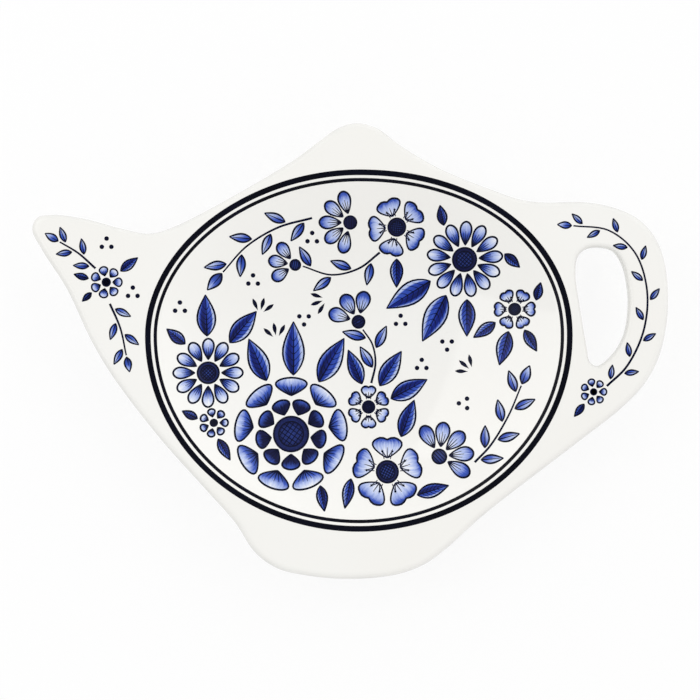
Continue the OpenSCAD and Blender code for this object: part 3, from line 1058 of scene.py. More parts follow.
@dataclass
class DishBody:
    """The fired clay under its glaze: well, flange, rounded edges, finger opening and foot ring.

    round_fullness is how full the rounded edges are, where 1 is an ellipse and less is squarer.
    clearance_share is how much of the flange between an edge and the lip a rounding may take.
    """

    stations: int = 480
    lip_rings: int = 11
    well_rings: int = 36
    under_rings: int = 12
    round_steps: int = 24
    round_fullness: float = 0.64
    thinning: float = 2.0
    corner_steps: int = 5
    easing_rounds: int = 6
    outline_step: float = 0.65 * MM
    grip_step: float = 0.35 * MM
    clearance_share: float = 0.75
    hub_share: float = 0.02

    def build(self, finish: Finish) -> bpy.types.Object:
        """Builds the dish and dresses it.

        Args:
            finish: Its glaze.

        Returns:
            The piece.
        """
        skin = Skin()
        directions = WELL.directions(self.stations)
        lip = directions * WELL.radius(directions)[:, None]
        top_rim = self.well_face(skin, lip)
        under_rim = self.under_face(skin, lip)
        outline, grip = FLANGE.outline(self.outline_step), FLANGE.grip(self.grip_step)
        breadths = self.breadths(outline, lip, FLANGE.edge_round)
        outer = self.rounded_edge(skin, outline, -outward(outline), breadths)
        breadths = self.breadths(grip, lip, FLANGE.grip_round)
        inner = self.rounded_edge(skin, grip, outward(grip), breadths)
        skin.fill(outer[-1], top_rim, inner[-1])
        skin.fill(outer[0], under_rim, inner[0])
        values = {"Material": finish.material()}
        mesh = raising_rule().run("dish_dressed", skin.mesh("dish_plan"), values)
        return settle("dish", self.smoothed(mesh))

    def well_face(self, skin: Skin, lip: np.ndarray) -> np.ndarray:
        """Lays the glazed face of the well.

        Args:
            skin: The skin.
            lip: The lip's line.

        Returns:
            The loop along the lip.
        """
        start = 1 - WELL.lip_share
        shares = [
            *np.linspace(1, start, self.lip_rings + 1)[:-1],
            *np.linspace(start, self.hub_share, self.well_rings + 1),
        ]
        loops = [skin.loop(lip * s, 0, in_well=1, level=float(s == 1)) for s in shares]
        skin.bridge(loops)
        skin.fan(loops[-1], in_well=1, level=1)
        return loops[0]

    def under_face(self, skin: Skin, lip: np.ndarray) -> np.ndarray:
        """Lays the underside from its middle over the foot ring to below the lip.

        Args:
            skin: The skin.
            lip: The lip's line.

        Returns:
            The loop below the lip.
        """
        reach = np.linalg.norm(lip, axis=1, keepdims=True)
        spokes = lip / reach
        outer = reach - UNDERSIDE.foot_inset
        inner = outer - UNDERSIDE.foot_width
        arc = np.linspace(0, np.pi / 2, self.corner_steps + 1)
        corner, foot = UNDERSIDE.fillet, UNDERSIDE.foot_round
        side = [(corner * (1 - math.sin(a)), corner * (math.cos(a) - 1), 1) for a in arc]
        side += [(foot * (math.cos(a) - 1), foot * (1 - math.sin(a)), 0) for a in arc]
        loops = [
            skin.loop(spokes * (inner - corner) * g, 0, in_under=1)
            for g in np.linspace(self.hub_share, 1, self.under_rings)[:-1]
        ]
        for line, way, steps in ((inner, -1, side), (outer, 1, side[::-1])):
            for away, z, fillet in steps:
                loops.append(skin.loop(spokes * (line + way * away), z, in_under=fillet, edge=1 - fillet))
        near = outer + corner
        for g in np.linspace(0, 1, self.under_rings)[1:]:
            plan = spokes * (near + (reach - near) * g)
            loops.append(skin.loop(plan, 0, in_under=1, level=-1 if g == 1 else 0))
        skin.bridge(loops)
        skin.fan(loops[0], in_under=1, level=-1)
        return loops[-1]

    def rounded_edge(
        self, skin: Skin, curve: np.ndarray, inwards: np.ndarray, breadths: np.ndarray
    ) -> list[np.ndarray]:
        """Lays a rounded edge from the flange's underside to its top.

        Args:
            skin: The skin.
            curve: The edge's line in plan.
            inwards: Unit vectors from the line into the clay.
            breadths: Breadth of the rounding at each point.

        Returns:
            The loops, lowest first.
        """
        half = FLANGE.thickness / 2
        loops = []
        for turn in np.linspace(-np.pi / 2, np.pi / 2, self.round_steps + 1):
            out = max(0.0, math.cos(turn)) ** self.round_fullness
            rise = math.copysign(abs(math.sin(turn)) ** self.round_fullness, turn)
            level = float(np.sign(turn)) if abs(turn) == np.pi / 2 else 0.0
            plan = curve + inwards * breadths[:, None] * (1 - out)
            z = WELL.flange_height - half + half * rise
            # edge greys the glaze towards the rounding's outermost point, as thinner glaze and as painted
            # shade.
            loops.append(skin.loop(plan, z, edge=out**self.thinning, level=level))
        skin.bridge(loops)
        return loops

    def breadths(self, curve: np.ndarray, lip: np.ndarray, full: float) -> np.ndarray:
        """Breadth of an edge's rounding, narrower where the flange is narrow.

        Args:
            curve: The edge's line.
            lip: The lip's line.
            full: Its breadth where there is room.

        Returns:
            The breadth at each point.
        """
        gaps = np.linalg.norm(curve[:, None] - lip[None], axis=2).min(1)
        breadths = np.minimum(full, gaps * self.clearance_share)
        for _ in range(self.easing_rounds):
            eased = (np.roll(breadths, 1) + breadths + np.roll(breadths, -1)) / 3
            breadths = np.minimum(breadths, eased)
        return breadths

    def smoothed(self, mesh: bpy.types.Mesh) -> bpy.types.Mesh:
        """Turns all faces outwards and shades them smooth, with the level faces kept level.

        Args:
            mesh: The dish's mesh, which is changed.

        Returns:
            The same mesh.
        """
        shaped = bmesh.new()
        shaped.from_mesh(mesh)
        bmesh.ops.recalc_face_normals(shaped, faces=shaped.faces)
        shaped.to_mesh(mesh)
        shaped.free()
        mesh.shade_smooth()
        level = np.zeros(len(mesh.vertices), np.float32)
        mesh.attributes["level"].data.foreach_get("value", level)
        mesh.normals_split_custom_set_from_vertices([(0, 0, float(v)) for v in level])
        return mesh


@dataclass
class LipBand:
    """A ring of banding colour between two distances inside the lip."""

    node: str
    near: float
    far: float
    stations: int = 480

    def build(self, rule: Rule, material: bpy.types.Material) -> bpy.types.Object:
        """Builds the band and dresses it.

        Args:
            rule: The tree that lays bands.
            material: Its ink.

        Returns:
            The piece.
        """
        directions = WELL.directions(self.stations)
        reach = WELL.radius(directions) - (self.near + self.far) / 2
        plan = directions * reach[:, None] + DEEPEST
        edges = [(k, (k + 1) % self.stations) for k in range(self.stations)]
        line = layered_mesh(f"{self.node}_line", [(x, y, 0) for x, y in plan], edges)
        values = {"Band Width": self.far - self.near, "Material": material}
        mesh = rule.run(f"{self.node}_dressed", line, values)
        return settle(self.node, sharpened(mesh))


def sharpened(mesh: bpy.types.Mesh) -> bpy.types.Mesh:
    """Shades a film smooth over its face and sharp along its rim.

    Args:
        mesh: The film's mesh, which is changed.

    Returns:
        The same mesh.
    """
    mesh.shade_smooth()
    mesh.set_sharp_from_angle(angle=math.radians(SHARP_ANGLE))
    return mesh


class Motif(Enum):
    """The shapes that the prints are drawn with. The number is a shape's place in its kit."""

    BROAD_PETAL = 0
    INNER_PETAL = 1
    SLIM_PETAL = 2
    NOTCHED_PETAL = 3
    SIDE_PETAL = 4
    BUD = 5
    LEAF = 6
    SPRIG_LEAF = 7
    EYE = 8
    CUP = 9
    DOT = 10
    COMMA = 11
    STAMEN = 12


@dataclass
class Patch:
    """A flat patch of a unit shape, with its tone at each point: 0 is palest and 1 deepest."""

    points: np.ndarray
    faces: list[tuple[int, ...]]
    rim: list[int]
    tone: np.ndarray
    along: np.ndarray
    across: np.ndarray

    def slab(self, name: str) -> bpy.types.Mesh:
        """A closed slab one unit high over the patch.

        Args:
            name: Name of the mesh.

        Returns:
            The mesh.
        """
        count = len(self.points)
        low = [(x, y, 0.0) for x, y in self.points]
        high = [(x, y, 1.0) for x, y in self.points]
        tops = [tuple(i + count for i in f) for f in self.faces]
        bottoms = [tuple(reversed(f)) for f in self.faces]
        walls = [(a, b, b + count, a + count) for a, b in zip(self.rim, self.rim[1:] + self.rim[:1])]
        tone, along, across = (np.tile(v, 2) for v in (self.tone, self.along, self.across))
        faces = tops + bottoms + walls
        return layered_mesh(name, low + high, faces=faces, tone=tone, along=along, across=across)


@dataclass(frozen=True)
class Stroke:
    """One inked line of a unit shape, with the pen's pressure at each point."""

    points: np.ndarray
    pressure: np.ndarray


def strokes_mesh(name: str, strokes: Iterable[Stroke]) -> bpy.types.Mesh:
    """A mesh of bare edges that follow the strokes.

    Args:
        name: Name of the mesh.
        strokes: The strokes.

    Returns:
        The mesh, which carries the pen's pressure.
    """
    points: list[tuple[float, float, float]] = []
    edges: list[tuple[int, int]] = []
    pressure: list[float] = []
    for stroke in strokes:
        start = len(points)
        points += [(x, y, 0.0) for x, y in stroke.points]
        edges += [(k, k + 1) for k in range(start, len(points) - 1)]
        pressure += [float(p) for p in stroke.pressure]
    return layered_mesh(name, points, edges, pressure=pressure)


@dataclass(frozen=True)
class Tone:
    """How deep a wash lies over a blade: at its foot, its tip and its sides, and on its shaded half."""

    base: float = 0.0
    foot: float = 0.0
    tip: float = 0.0
    power: float = 1.5
    side: float = 0.0
    shaded_half: float = 0.0
    lit_half: float = 0.0
    pale_rim: float = 0.0
    rim_start: float = 0.5
    steepness: float = 4.0

    def over(self, t: np.ndarray, v: np.ndarray) -> np.ndarray:
        """The tone over a blade.

        Args:
            t: Shares of the length from the foot.
            v: Places across, -1 and 1 being the edges.

        Returns:
            The tone at each place.
        """
        off = np.abs(v)
        ends = self.foot * (1 - t) ** self.power + self.tip * t**self.power
        halves = np.where(v > 0, self.shaded_half, self.lit_half) * np.minimum(1, off * self.steepness)
        rim = self.pale_rim * np.clip((off - self.rim_start) * self.steepness, 0, 1)
        return self.base + ends + self.side * off + halves - rim


@dataclass(frozen=True)
class Blade:
    """The outline of a petal or leaf one unit long and one unit wide, with its foot at the origin.

    A peak above 1 puts its widest place nearer the tip, and one below 1 nearer the foot. A blunt of 0.5
    gives it a round tip, and one of 1 a pointed tip.
    """

    peak: float = 0.8
    blunt: float = 1.0
    notch: float = 0.0
    notch_breadth: float = 0.13
    notch_power: int = 6
    rows: int = 14
    columns: int = 8
    rib_start: float = 0.04
    rib_fall: float = 0.2
    rib_taper: float = 0.65
    vein_start: float = 0.14
    vein_span: float = 0.62
    vein_length: float = 0.17
    vein_reach: float = 0.8
    vein_bend: float = 1.3
    vein_taper: float = 0.6
    vein_steps: int = 4

    @property
    def widest(self) -> float:
        """Share of the length at which the blade is widest."""
        return 0.5 ** (1 / self.peak)

    def half_width(self, t: np.ndarray) -> np.ndarray:
        """Half the width at shares of the length."""
        return 0.5 * np.clip(np.sin(np.pi * np.clip(t, 0, 1) ** self.peak), 0, 1) ** self.blunt

    def at(self, t: np.ndarray, v: np.ndarray) -> np.ndarray:
        """Points at shares of the length, and from -1 to 1 across.

        Args:
            t: Shares of the length from the foot.
            v: Places across, -1 and 1 being the edges.

        Returns:
            The points, one a row.
        """
        y = self.half_width(t) * v
        dip = self.notch * np.exp(-((y / self.notch_breadth) ** 2)) * np.clip(t, 0, 1) ** self.notch_power
        return np.stack([t - dip, y], -1)

    def patch(self, tone: Tone) -> Patch:
        """The filled blade.

        Args:
            tone: The tone that it is washed in.

        Returns:
            The patch, closed to a point at its foot and its tip.
        """
        t = (1 - np.cos(np.pi * np.arange(1, self.rows) / self.rows)) / 2
        v = np.linspace(-1, 1, self.columns + 1)
        grid_t, grid_v = np.meshgrid(t, v, indexing="ij")
        flat_t = np.concatenate([[0.0], grid_t.ravel(), [1.0]])
        flat_v = np.concatenate([[0.0], grid_v.ravel(), [0.0]])
        wide, last = self.columns + 1, len(flat_t) - 1
        end = 1 + (self.rows - 2) * wide
        faces: list[tuple[int, ...]] = [(0, 1 + j, 2 + j) for j in range(self.columns)]
        for a in range(1, end, wide):
            faces += [(a + j, a + j + wide, a + j + wide + 1, a + j + 1) for j in range(self.columns)]
        faces += [(end + j, last, end + j + 1) for j in range(self.columns)]
        right = list(range(1, end + 1, wide))
        left = [i + self.columns for i in reversed(right)]
        rim = [0, *right, last, *left]
        return Patch(self.at(flat_t, flat_v), faces, rim, tone.over(flat_t, flat_v), flat_t, flat_v)

    def outline(self, thin: float = 0.75, full: float = 1.15) -> list[Stroke]:
        """The blade's edge: one stroke round a blunt tip, or one on each side of a pointed one.

        Args:
            thin: Pressure at the ends.
            full: Pressure where the line is fullest.

        Returns:
            The strokes.
        """
        t = (1 - np.cos(np.pi * np.arange(self.rows + 1) / self.rows)) / 2
        if self.blunt >= 1:
            press = thin + (full - thin) * np.sin(np.pi * t)
            return [Stroke(self.at(t, np.full(len(t), side)), press) for side in (1.0, -1.0)]
        both = np.concatenate([t, t[-2::-1]])
        side = np.concatenate([np.full(len(t), 1.0), np.full(len(t) - 1, -1.0)])
        return [Stroke(self.at(both, side), thin + (full - thin) * np.sin(np.pi / 2 * both))]

    def rib(self, v: float, start: float, end: float, press: float, steps: int = 6) -> Stroke:
        """A tapering line along the blade.

        Args:
            v: Its place across.
            start: Where it starts, as a share of the length.
            end: Where it ends.
            press: Pressure at its start.
            steps: Its number of steps.

        Returns:
            The stroke.
        """
        u = np.linspace(0, 1, steps + 1)
        t = start + (end - start) * u
        return Stroke(self.at(t, np.full(len(t), v)), press * (1 - self.rib_taper * u))

    def ribs(self, places: Sequence[float], end: float, press: float) -> list[Stroke]:
        """Lines from the foot, shorter towards the blade's sides."""
        return [self.rib(v, self.rib_start, end - self.rib_fall * abs(v), press) for v in places]

    def veins(self, pairs: int, press: float) -> list[Stroke]:
        """Side veins that leave the midrib and bend towards the tip.

        Args:
            pairs: Number of pairs.
            press: Pressure at the midrib.

        Returns:
            The strokes.
        """
        made = []
        u = np.linspace(0, 1, self.vein_steps + 1)
        for k in range(pairs):
            t = self.vein_start + self.vein_span * k / pairs + self.vein_length * u**self.vein_bend
            for side in (-self.vein_reach, self.vein_reach):
                made.append(Stroke(self.at(t, side * u), press * (1 - self.vein_taper * u)))
        return made


def disc_patch(inner: float, outer: float, rings: int = 4, sides: int = 32) -> Patch:
    """A filled disc one unit across, about the origin.

    Args:
        inner: Tone at its middle.
        outer: Tone at its rim.
        rings: Its number of rings.
        sides: Points round each ring.

    Returns:
        The patch.
    """
    radii = np.repeat(np.arange(1, rings + 1) / rings, sides)
    turns = np.tile(np.arange(sides) * 2 * np.pi / sides, rings)
    points = np.stack([radii * np.cos(turns), radii * np.sin(turns)], 1) / 2
    faces: list[tuple[int, ...]] = [(0, 1 + k, 1 + (k + 1) % sides) for k in range(sides)]
    for r in range(0, (rings - 1) * sides, sides):
        for k in range(sides):
            a, b = 1 + r + k, 1 + r + (k + 1) % sides
            faces.append((a, a + sides, b + sides, b))
    share = np.concatenate([[0.0], radii])
    rim = list(range(1 + (rings - 1) * sides, 1 + rings * sides))
    places = np.vstack([[0.0, 0.0], points])
    return Patch(places, faces, rim, inner + (outer - inner) * share**2, share, 0 * share)


def ring_stroke(radius: float, press: float, sides: int = 36) -> Stroke:
    """An inked circle about the origin."""
    turns = np.linspace(0, 2 * np.pi, sides + 1)
    return Stroke(radius * np.stack([np.cos(turns), np.sin(turns)], 1), np.full(sides + 1, press))


def hatching(radius: float, lines: int, turn: float, press: float) -> list[Stroke]:
    """Parallel inked lines across a circle about the origin.

    Args:
        radius: Radius of the circle.
        lines: Number of lines.
        turn: Direction of the lines in degrees.
        press: The pen's pressure.

    Returns:
        The strokes.
    """
    along, side, made = heading(turn), heading(turn + 90), []
    for off in radius * np.linspace(-1, 1, lines + 2)[1:-1]:
        half = math.sqrt(radius**2 - off**2)
        made.append(Stroke(np.array([side * off + along * q for q in (-half, 0, half)]), np.full(3, press)))
    return made


PETAL = Blade(1.6, 0.5)


@dataclass
class PatternBook:
    """The unit shapes of every motif, as three kits: tinted washes, inked lines and solid strokes."""

    petal: Blade = PETAL
    notched: Blade = Blade(1.6, 0.5, notch=0.14)
    leaf: Blade = Blade(0.8, 1.0)
    comma: Blade = Blade(1.3, 1.0, rows=10, columns=4)
    leaf_tone: Tone = Tone(
        base=0.32, foot=0.34, power=1.0, shaded_half=0.28, lit_half=-0.12, pale_rim=0.62
    )
    sprig_tone: Tone = Tone(
        base=-0.08, foot=0.58, power=1.3, shaded_half=0.14, lit_half=-0.08, pale_rim=0.1
    )
    eye_core: float = 0.36
    anther_middle: float = 0.94
    anther_length: float = 0.24
    kits: dict[str, bpy.types.Collection] = field(default_factory=dict)

    def washes(self) -> dict[Motif, Patch]:
        """The tinted fills.

        Returns:
            The fill of each motif that has one.
        """
        petal, notched, leaf = self.petal, self.notched, self.leaf
        return {
            Motif.BROAD_PETAL: petal.patch(Tone(foot=1.1, power=1.3, side=0.14)),
            Motif.INNER_PETAL: petal.patch(Tone(base=1.15, tip=-0.75, power=2.2, side=0.1)),
            Motif.SLIM_PETAL: petal.patch(Tone(foot=1.1, power=1.5, side=0.14)),
            Motif.NOTCHED_PETAL: notched.patch(Tone(base=0.04, tip=0.86, power=2.6, side=0.12)),
            Motif.SIDE_PETAL: petal.patch(Tone(base=0.08, tip=0.72, power=2.4, side=0.16)),
            Motif.BUD: leaf.patch(Tone(base=0.05, foot=0.9, power=1.0, shaded_half=0.1)),
            Motif.LEAF: leaf.patch(self.leaf_tone),
            Motif.SPRIG_LEAF: leaf.patch(self.sprig_tone),
            Motif.EYE: disc_patch(0.88, 1.1),
            Motif.CUP: disc_patch(0.9, 1.1),
        }

    def lines(self) -> dict[Motif, list[Stroke]]:
        """The inked lines.

        Returns:
            The lines of each motif that has them.
        """
        petal, notched, leaf = self.petal, self.notched, self.leaf
        filament = Stroke(np.array([[0, 0], [0.35, 0.02], [0.7, -0.02], [0.92, 0]]), np.full(4, 0.5))
        crossed = [
            line for turn in (45, -45) for line in hatching(self.eye_core, lines=5, turn=turn, press=0.55)
        ]
        rim = ring_stroke(0.5, press=1.1)
        broad_ribs = petal.ribs((-0.6, -0.3, 0, 0.3, 0.6), end=0.62, press=0.75)
        midrib = leaf.rib(0, start=0, end=0.94, press=0.95, steps=10)
        return {
            Motif.BROAD_PETAL: [*petal.outline(), *broad_ribs],
            Motif.INNER_PETAL: [*petal.outline(), *petal.ribs((-0.35, 0, 0.35), end=0.7, press=0.75)],
            Motif.SLIM_PETAL: [*petal.outline(), *petal.ribs((-0.42, 0, 0.42), end=0.6, press=0.6)],
            Motif.NOTCHED_PETAL: [*notched.outline(), *notched.ribs((-0.45, 0, 0.45), end=0.5, press=0.75)],
            Motif.SIDE_PETAL: [*petal.outline(), *petal.ribs((-0.45, 0, 0.45), end=0.62, press=0.75)],
            Motif.BUD: [*leaf.outline(), leaf.rib(0.1, start=0, end=0.6, press=0.7)],
            Motif.LEAF: [*leaf.outline(), midrib, *leaf.veins(pairs=5, press=0.5)],
            Motif.SPRIG_LEAF: [*leaf.outline(), leaf.rib(0, start=0, end=0.85, press=0.85)],
            Motif.EYE: [rim, ring_stroke(self.eye_core, press=0.7), *crossed],
            Motif.CUP: [rim, *hatching(0.5, lines=4, turn=90, press=0.6)],
            Motif.STAMEN: [filament],
        }

    def solids(self) -> dict[Motif, Patch]:
        """The solid ink.

        Returns:
            The shape of each motif that has solid ink.
        """
        anther = disc_patch(1.0, 1.0, rings=1, sides=10)
        anther.points = anther.points * [self.anther_length, 1.0] + [self.anther_middle, 0.0]
        return {
            Motif.DOT: disc_patch(1.0, 1.0, rings=2, sides=16),
            Motif.COMMA: self.comma.patch(Tone(base=1.0)),
            Motif.STAMEN: anther,
        }

    def open(self) -> None:
        """Makes the three kits, each with an object for every motif, sorted by name."""
        for name, shapes in (("wash", self.washes()), ("line", self.lines()), ("solid", self.solids())):
            self.kits[name] = bpy.data.collections.new(f"{name}_kit")
            for motif in Motif:
                title = f"{name}_{motif.value:02d}_{motif.name.lower()}"
                shape = shapes.get(motif, [])
                mesh = shape.slab(title) if isinstance(shape, Patch) else strokes_mesh(title, shape)
                self.kits[name].objects.link(bpy.data.objects.new(title, mesh))

    def close(self) -> None:
        """Removes the kits once every print is made."""
        for kit in self.kits.values():
            for shape in list(kit.objects):
                bpy.data.objects.remove(shape)
            bpy.data.collections.remove(kit)


@dataclass(frozen=True)
class Mark:
    """One stamped motif: its foot or middle, its direction in degrees and its size."""

    motif: Motif
    foot: np.ndarray
    turn: float
    long: float
    wide: float

    def inset(self, by: float) -> "Mark":
        """The mark drawn in by half a line's width, so that its outline stays on its wash.

        Args:
            by: Width of the line.

        Returns:
            The smaller mark, or the same one where it has no wash under it.
        """
        if self.motif in (Motif.DOT, Motif.COMMA, Motif.STAMEN):
            return self
        round_shape = self.motif in (Motif.EYE, Motif.CUP)
        foot = self.foot if round_shape else self.foot + heading(self.turn) * by / 2
        return Mark(self.motif, foot, self.turn, self.long - by, self.wide - by)


def marks_mesh(name: str, marks: Sequence[Mark]) -> bpy.types.Mesh:
    """A cloud of points that carry what is stamped on them.

    Args:
        name: Name of the mesh.
        marks: The marks, placed from the well's deepest point.

    Returns:
        The mesh.
    """
    layers = {
        "motif": [m.motif.value for m in marks],
        "turn": [math.radians(m.turn) for m in marks],
        "long": [m.long for m in marks],
        "wide": [m.wide for m in marks],
    }
    return layered_mesh(name, [(*(m.foot + DEEPEST), 0.0) for m in marks], **layers)


FULL_TURN = 360.0
SIDE_VIEW_RINGS = ((0.26, 1.0),)
SINGLE_RING = ((0.36, 1.0),)
DOUBLE_RINGS = ((0.66, 1.0), (0.34, 0.63))


@dataclass(frozen=True)
class Flower:
    """A flower. Its middle and radius are shares of the area that its spray decorates.

    turn is the direction of its first petal, or of its middle where it is seen from its side, and spread
    is the angle that its petals fan out over, both in degrees.
    """

    middle: Point
    radius: float
    petals: int
    turn: float
    petal: Motif = Motif.SLIM_PETAL
    spread: float = FULL_TURN
    two_rings: bool = False

    @property
    def whole(self) -> bool:
        """True if the flower is seen from its front."""
        return self.spread == FULL_TURN

    @property
    def rings(self) -> Sequence[Point]:
        """Where each ring of petals starts and ends, as shares of the radius."""
        front = DOUBLE_RINGS if self.two_rings else SINGLE_RING
        return front if self.whole else SIDE_VIEW_RINGS


@dataclass(frozen=True)
class Leaf:
    """A leaf at a flower's edge: the flower's number, the angle there, lean, length and width share."""

    flower: int
    angle: float
    lean: float
    length: float
    width_share: float


@dataclass(frozen=True)
class Branch:
    """A stem with leaves by turns, and a bud at its tip where bud_length is above 0.

    first_side is 1 where the first leaf is on the stem's left, and -1 where it is on its right.
    """

    knots: Sequence[Point]
    leaves: int
    leaf_length: float
    bud_length: float = 0.0
    first_side: int = 1


@dataclass(frozen=True)
class Group:
    """Three dots or three comma strokes: their middle and their turn in degrees."""

    middle: Point
    turn: float


@dataclass
class Spray:
    """One printed spray: what it holds, and how its shares become places and sizes."""

    name: str
    place: Callable[[Point], np.ndarray]
    size: float
    flowers: Sequence[Flower]
    leaves: Sequence[Leaf] = ()
    branches: Sequence[Branch] = ()
    dots: Sequence[Group] = ()
    commas: Sequence[Group] = ()
    line_width: float = 0.33 * MM
    gap: float = 0.25 * MM
    stem_width: float = 0.45 * MM
    stem_taper: float = 0.35
    bud_width_share: float = 0.5
    leaf_width_share: float = 0.42
    leaf_spread: float = 40.0
    first_leaf: float = 0.7
    tip_steps: float = 1.5
    stamen_lean: float = 14.0
    stamen_start: float = 0.36
    stamen_length: float = 0.24
    stamen_width: float = 0.5 * MM
    dot_radius: float = 0.45 * MM
    dot_spread: float = 2.4
    comma_length: float = 2.6 * MM
    comma_width_share: float = 0.3
    comma_spread: float = 38.0
    curve_steps: int = 4
    route_steps: int = 12

    def flower_marks(self, flower: Flower) -> list[Mark]:
        """The petals of one flower.

        Args:
            flower: The flower.

        Returns:
            Their marks.
        """
        middle, radius = self.place(flower.middle), flower.radius * self.size
        pitch = flower.spread / (flower.petals if flower.whole else flower.petals - 1)
        first = flower.turn if flower.whole else flower.turn - flower.spread / 2
        marks = []
        for j, (start, end) in enumerate(flower.rings):
            near, far = start * radius, end * radius
            widest = near + (far - near) * PETAL.widest
            wide = 2 * widest * math.sin(math.radians(pitch / 2)) - self.gap
            for k in range(flower.petals):
                turn = first + pitch * (k + j / 2)
                motif = Motif.INNER_PETAL if j else flower.petal
                marks.append(Mark(motif, middle + near * heading(turn), turn, far - near, wide))
        return marks

    def eye_mark(self, flower: Flower) -> Mark:
        """The eye of a flower, or the cup of one that is seen from its side.

        Args:
            flower: The flower.

        Returns:
            Its mark.
        """
        across = 2 * (flower.rings[-1][0] * flower.radius * self.size - self.gap)
        motif = Motif.EYE if flower.whole else Motif.CUP
        return Mark(motif, self.place(flower.middle), flower.turn, across, across)

    def stamen_marks(self, flower: Flower) -> list[Mark]:
        """Two stamens on each petal of an open flower with notched petals.

        Args:
            flower: The flower.

        Returns:
            Their marks.
        """
        marks = []
        if flower.petal is Motif.NOTCHED_PETAL:
            middle, radius = self.place(flower.middle), flower.radius * self.size
            for k in range(flower.petals):
                for lean in (-self.stamen_lean, self.stamen_lean):
                    turn = flower.turn + FULL_TURN * k / flower.petals + lean
                    foot = middle + self.stamen_start * radius * heading(turn)
                    long = self.stamen_length * radius
                    marks.append(Mark(Motif.STAMEN, foot, turn, long, self.stamen_width))
        return marks

    def stem(self, branch: Branch, steps: int) -> np.ndarray:
        """A branch's curve, with the given steps between two knots."""
        return open_curve(np.array([self.place(k) for k in branch.knots]), steps)

    def petal_marks(self) -> list[Mark]:
        """Every petal, and the bud at the tip of each branch that has one.

        Returns:
            Their marks.
        """
        marks = [m for flower in self.flowers for m in self.flower_marks(flower)]
        for branch in self.branches:
            if branch.bud_length > 0:
                curve = self.stem(branch, self.curve_steps)
                along = course(curve, len(curve) - 1)
                foot, long = curve[-1] + along * self.gap, branch.bud_length * self.size
                marks.append(Mark(Motif.BUD, foot, turn_of(along), long, long * self.bud_width_share))
        return marks

    def leaf_marks(self) -> list[Mark]:
        """The leaves round the flowers and by turns along the branches.

        Returns:
            Their marks.
        """
        marks = []
        for leaf in self.leaves:
            flower = self.flowers[leaf.flower]
            reach = flower.radius * self.size + self.gap
            foot = self.place(flower.middle) + reach * heading(leaf.angle)
            long = leaf.length * self.size
            marks.append(Mark(Motif.LEAF, foot, leaf.angle + leaf.lean, long, long * leaf.width_share))
        for branch in self.branches:
            curve = self.stem(branch, self.curve_steps)
            for k in range(branch.leaves):
                share = (k + self.first_leaf) / branch.leaves
                i = math.floor(share * (len(curve) - self.tip_steps) + 0.5)
                along = course(curve, i)
                side = branch.first_side if k % 2 == 0 else -branch.first_side
                off = side * np.array([-along[1], along[0]]) * (self.stem_width / 2 + self.gap)
                turn, long = turn_of(along) + side * self.leaf_spread, branch.leaf_length * self.size
                wide = long * self.leaf_width_share
                marks.append(Mark(Motif.SPRIG_LEAF, curve[i] + off, turn, long, wide))
        return marks

    def group_marks(self) -> list[Mark]:
        """The dots and comma strokes in groups of three.

        Returns:
            Their marks.
        """
        marks, across = [], 2 * self.dot_radius
        for group in self.dots:
            for k in range(3):
                away = self.dot_spread * self.dot_radius * heading(group.turn + FULL_TURN / 3 * k)
                marks.append(Mark(Motif.DOT, self.place(group.middle) + away, 0, across, across))
        for group in self.commas:
            for k in (-1, 0, 1):
                turn, long = group.turn + k * self.comma_spread, self.comma_length
                foot = self.place(group.middle) + across * heading(turn)
                marks.append(Mark(Motif.COMMA, foot, turn, long, self.comma_width_share * long))
        return marks

    def routes(self) -> bpy.types.Object:
        """The stems as bare edges.

        Returns:
            An object that holds them and is in no scene.
        """
        strokes, title = [], f"{self.name}_routes"
        for branch in self.branches:
            curve = self.stem(branch, self.route_steps) + DEEPEST
            taper = 1 - self.stem_taper * np.linspace(0, 1, len(curve))
            strokes.append(Stroke(curve, self.stem_width / self.line_width * taper))
        return bpy.data.objects.new(title, strokes_mesh(title, strokes))

    def build(
        self, book: PatternBook, wash_rule: Rule, ink_rule: Rule, dress: dict[Slot, bpy.types.Material]
    ) -> None:
        """Builds the spray's petals, leaves and linework and dresses them.

        Args:
            book: The pattern book, opened.
            wash_rule: The tree that stamps washes.
            ink_rule: The tree that draws ink.
            dress: The material for each slot.
        """
        petals, leaves = self.petal_marks(), self.leaf_marks()
        eyes = [self.eye_mark(f) for f in self.flowers]
        stamens = [m for f in self.flowers for m in self.stamen_marks(f)]
        for part, marks, slot in (
            ("petals", petals + eyes, Slot.PETAL_BLUE), ("leaves", leaves, Slot.LEAF_BLUE)
        ):
            node = f"{self.name}_{part}"
            values = {"Kit": book.kits["wash"], "Material": dress[slot]}
            mesh = wash_rule.run(f"{node}_dressed", marks_mesh(f"{node}_marks", marks), values)
            settle(node, sharpened(mesh))
        node = f"{self.name}_linework"
        drawn = [m.inset(self.line_width) for m in petals + leaves + eyes + stamens + self.group_marks()]
        routes = self.routes()
        values = {
            "Line Kit": book.kits["line"], "Solid Kit": book.kits["solid"], "Routes": routes,
            "Line Width": self.line_width, "Material": dress[Slot.LINE_INK],
        }
        mesh = ink_rule.run(f"{node}_dressed", marks_mesh(f"{node}_marks", drawn), values)
        bpy.data.objects.remove(routes)
        settle(node, sharpened(mesh))


PRINT_SHARE = 0.59
PRINT_SIZE = (WELL.half_up + WELL.half_down) * PRINT_SHARE
PRINT_DROP = 2.9 * MM
SPRIG_LINE = 0.28 * MM
STRAP_WIDTH = 7.9 * MM
BROAD, NOTCHED, SIDE = Motif.BROAD_PETAL, Motif.NOTCHED_PETAL, Motif.SIDE_PETAL


def in_well(share: Point) -> np.ndarray:
    """A place in the well from its shares of the prints' size."""
    return np.array(share) * PRINT_SIZE - np.array([0.0, PRINT_DROP])


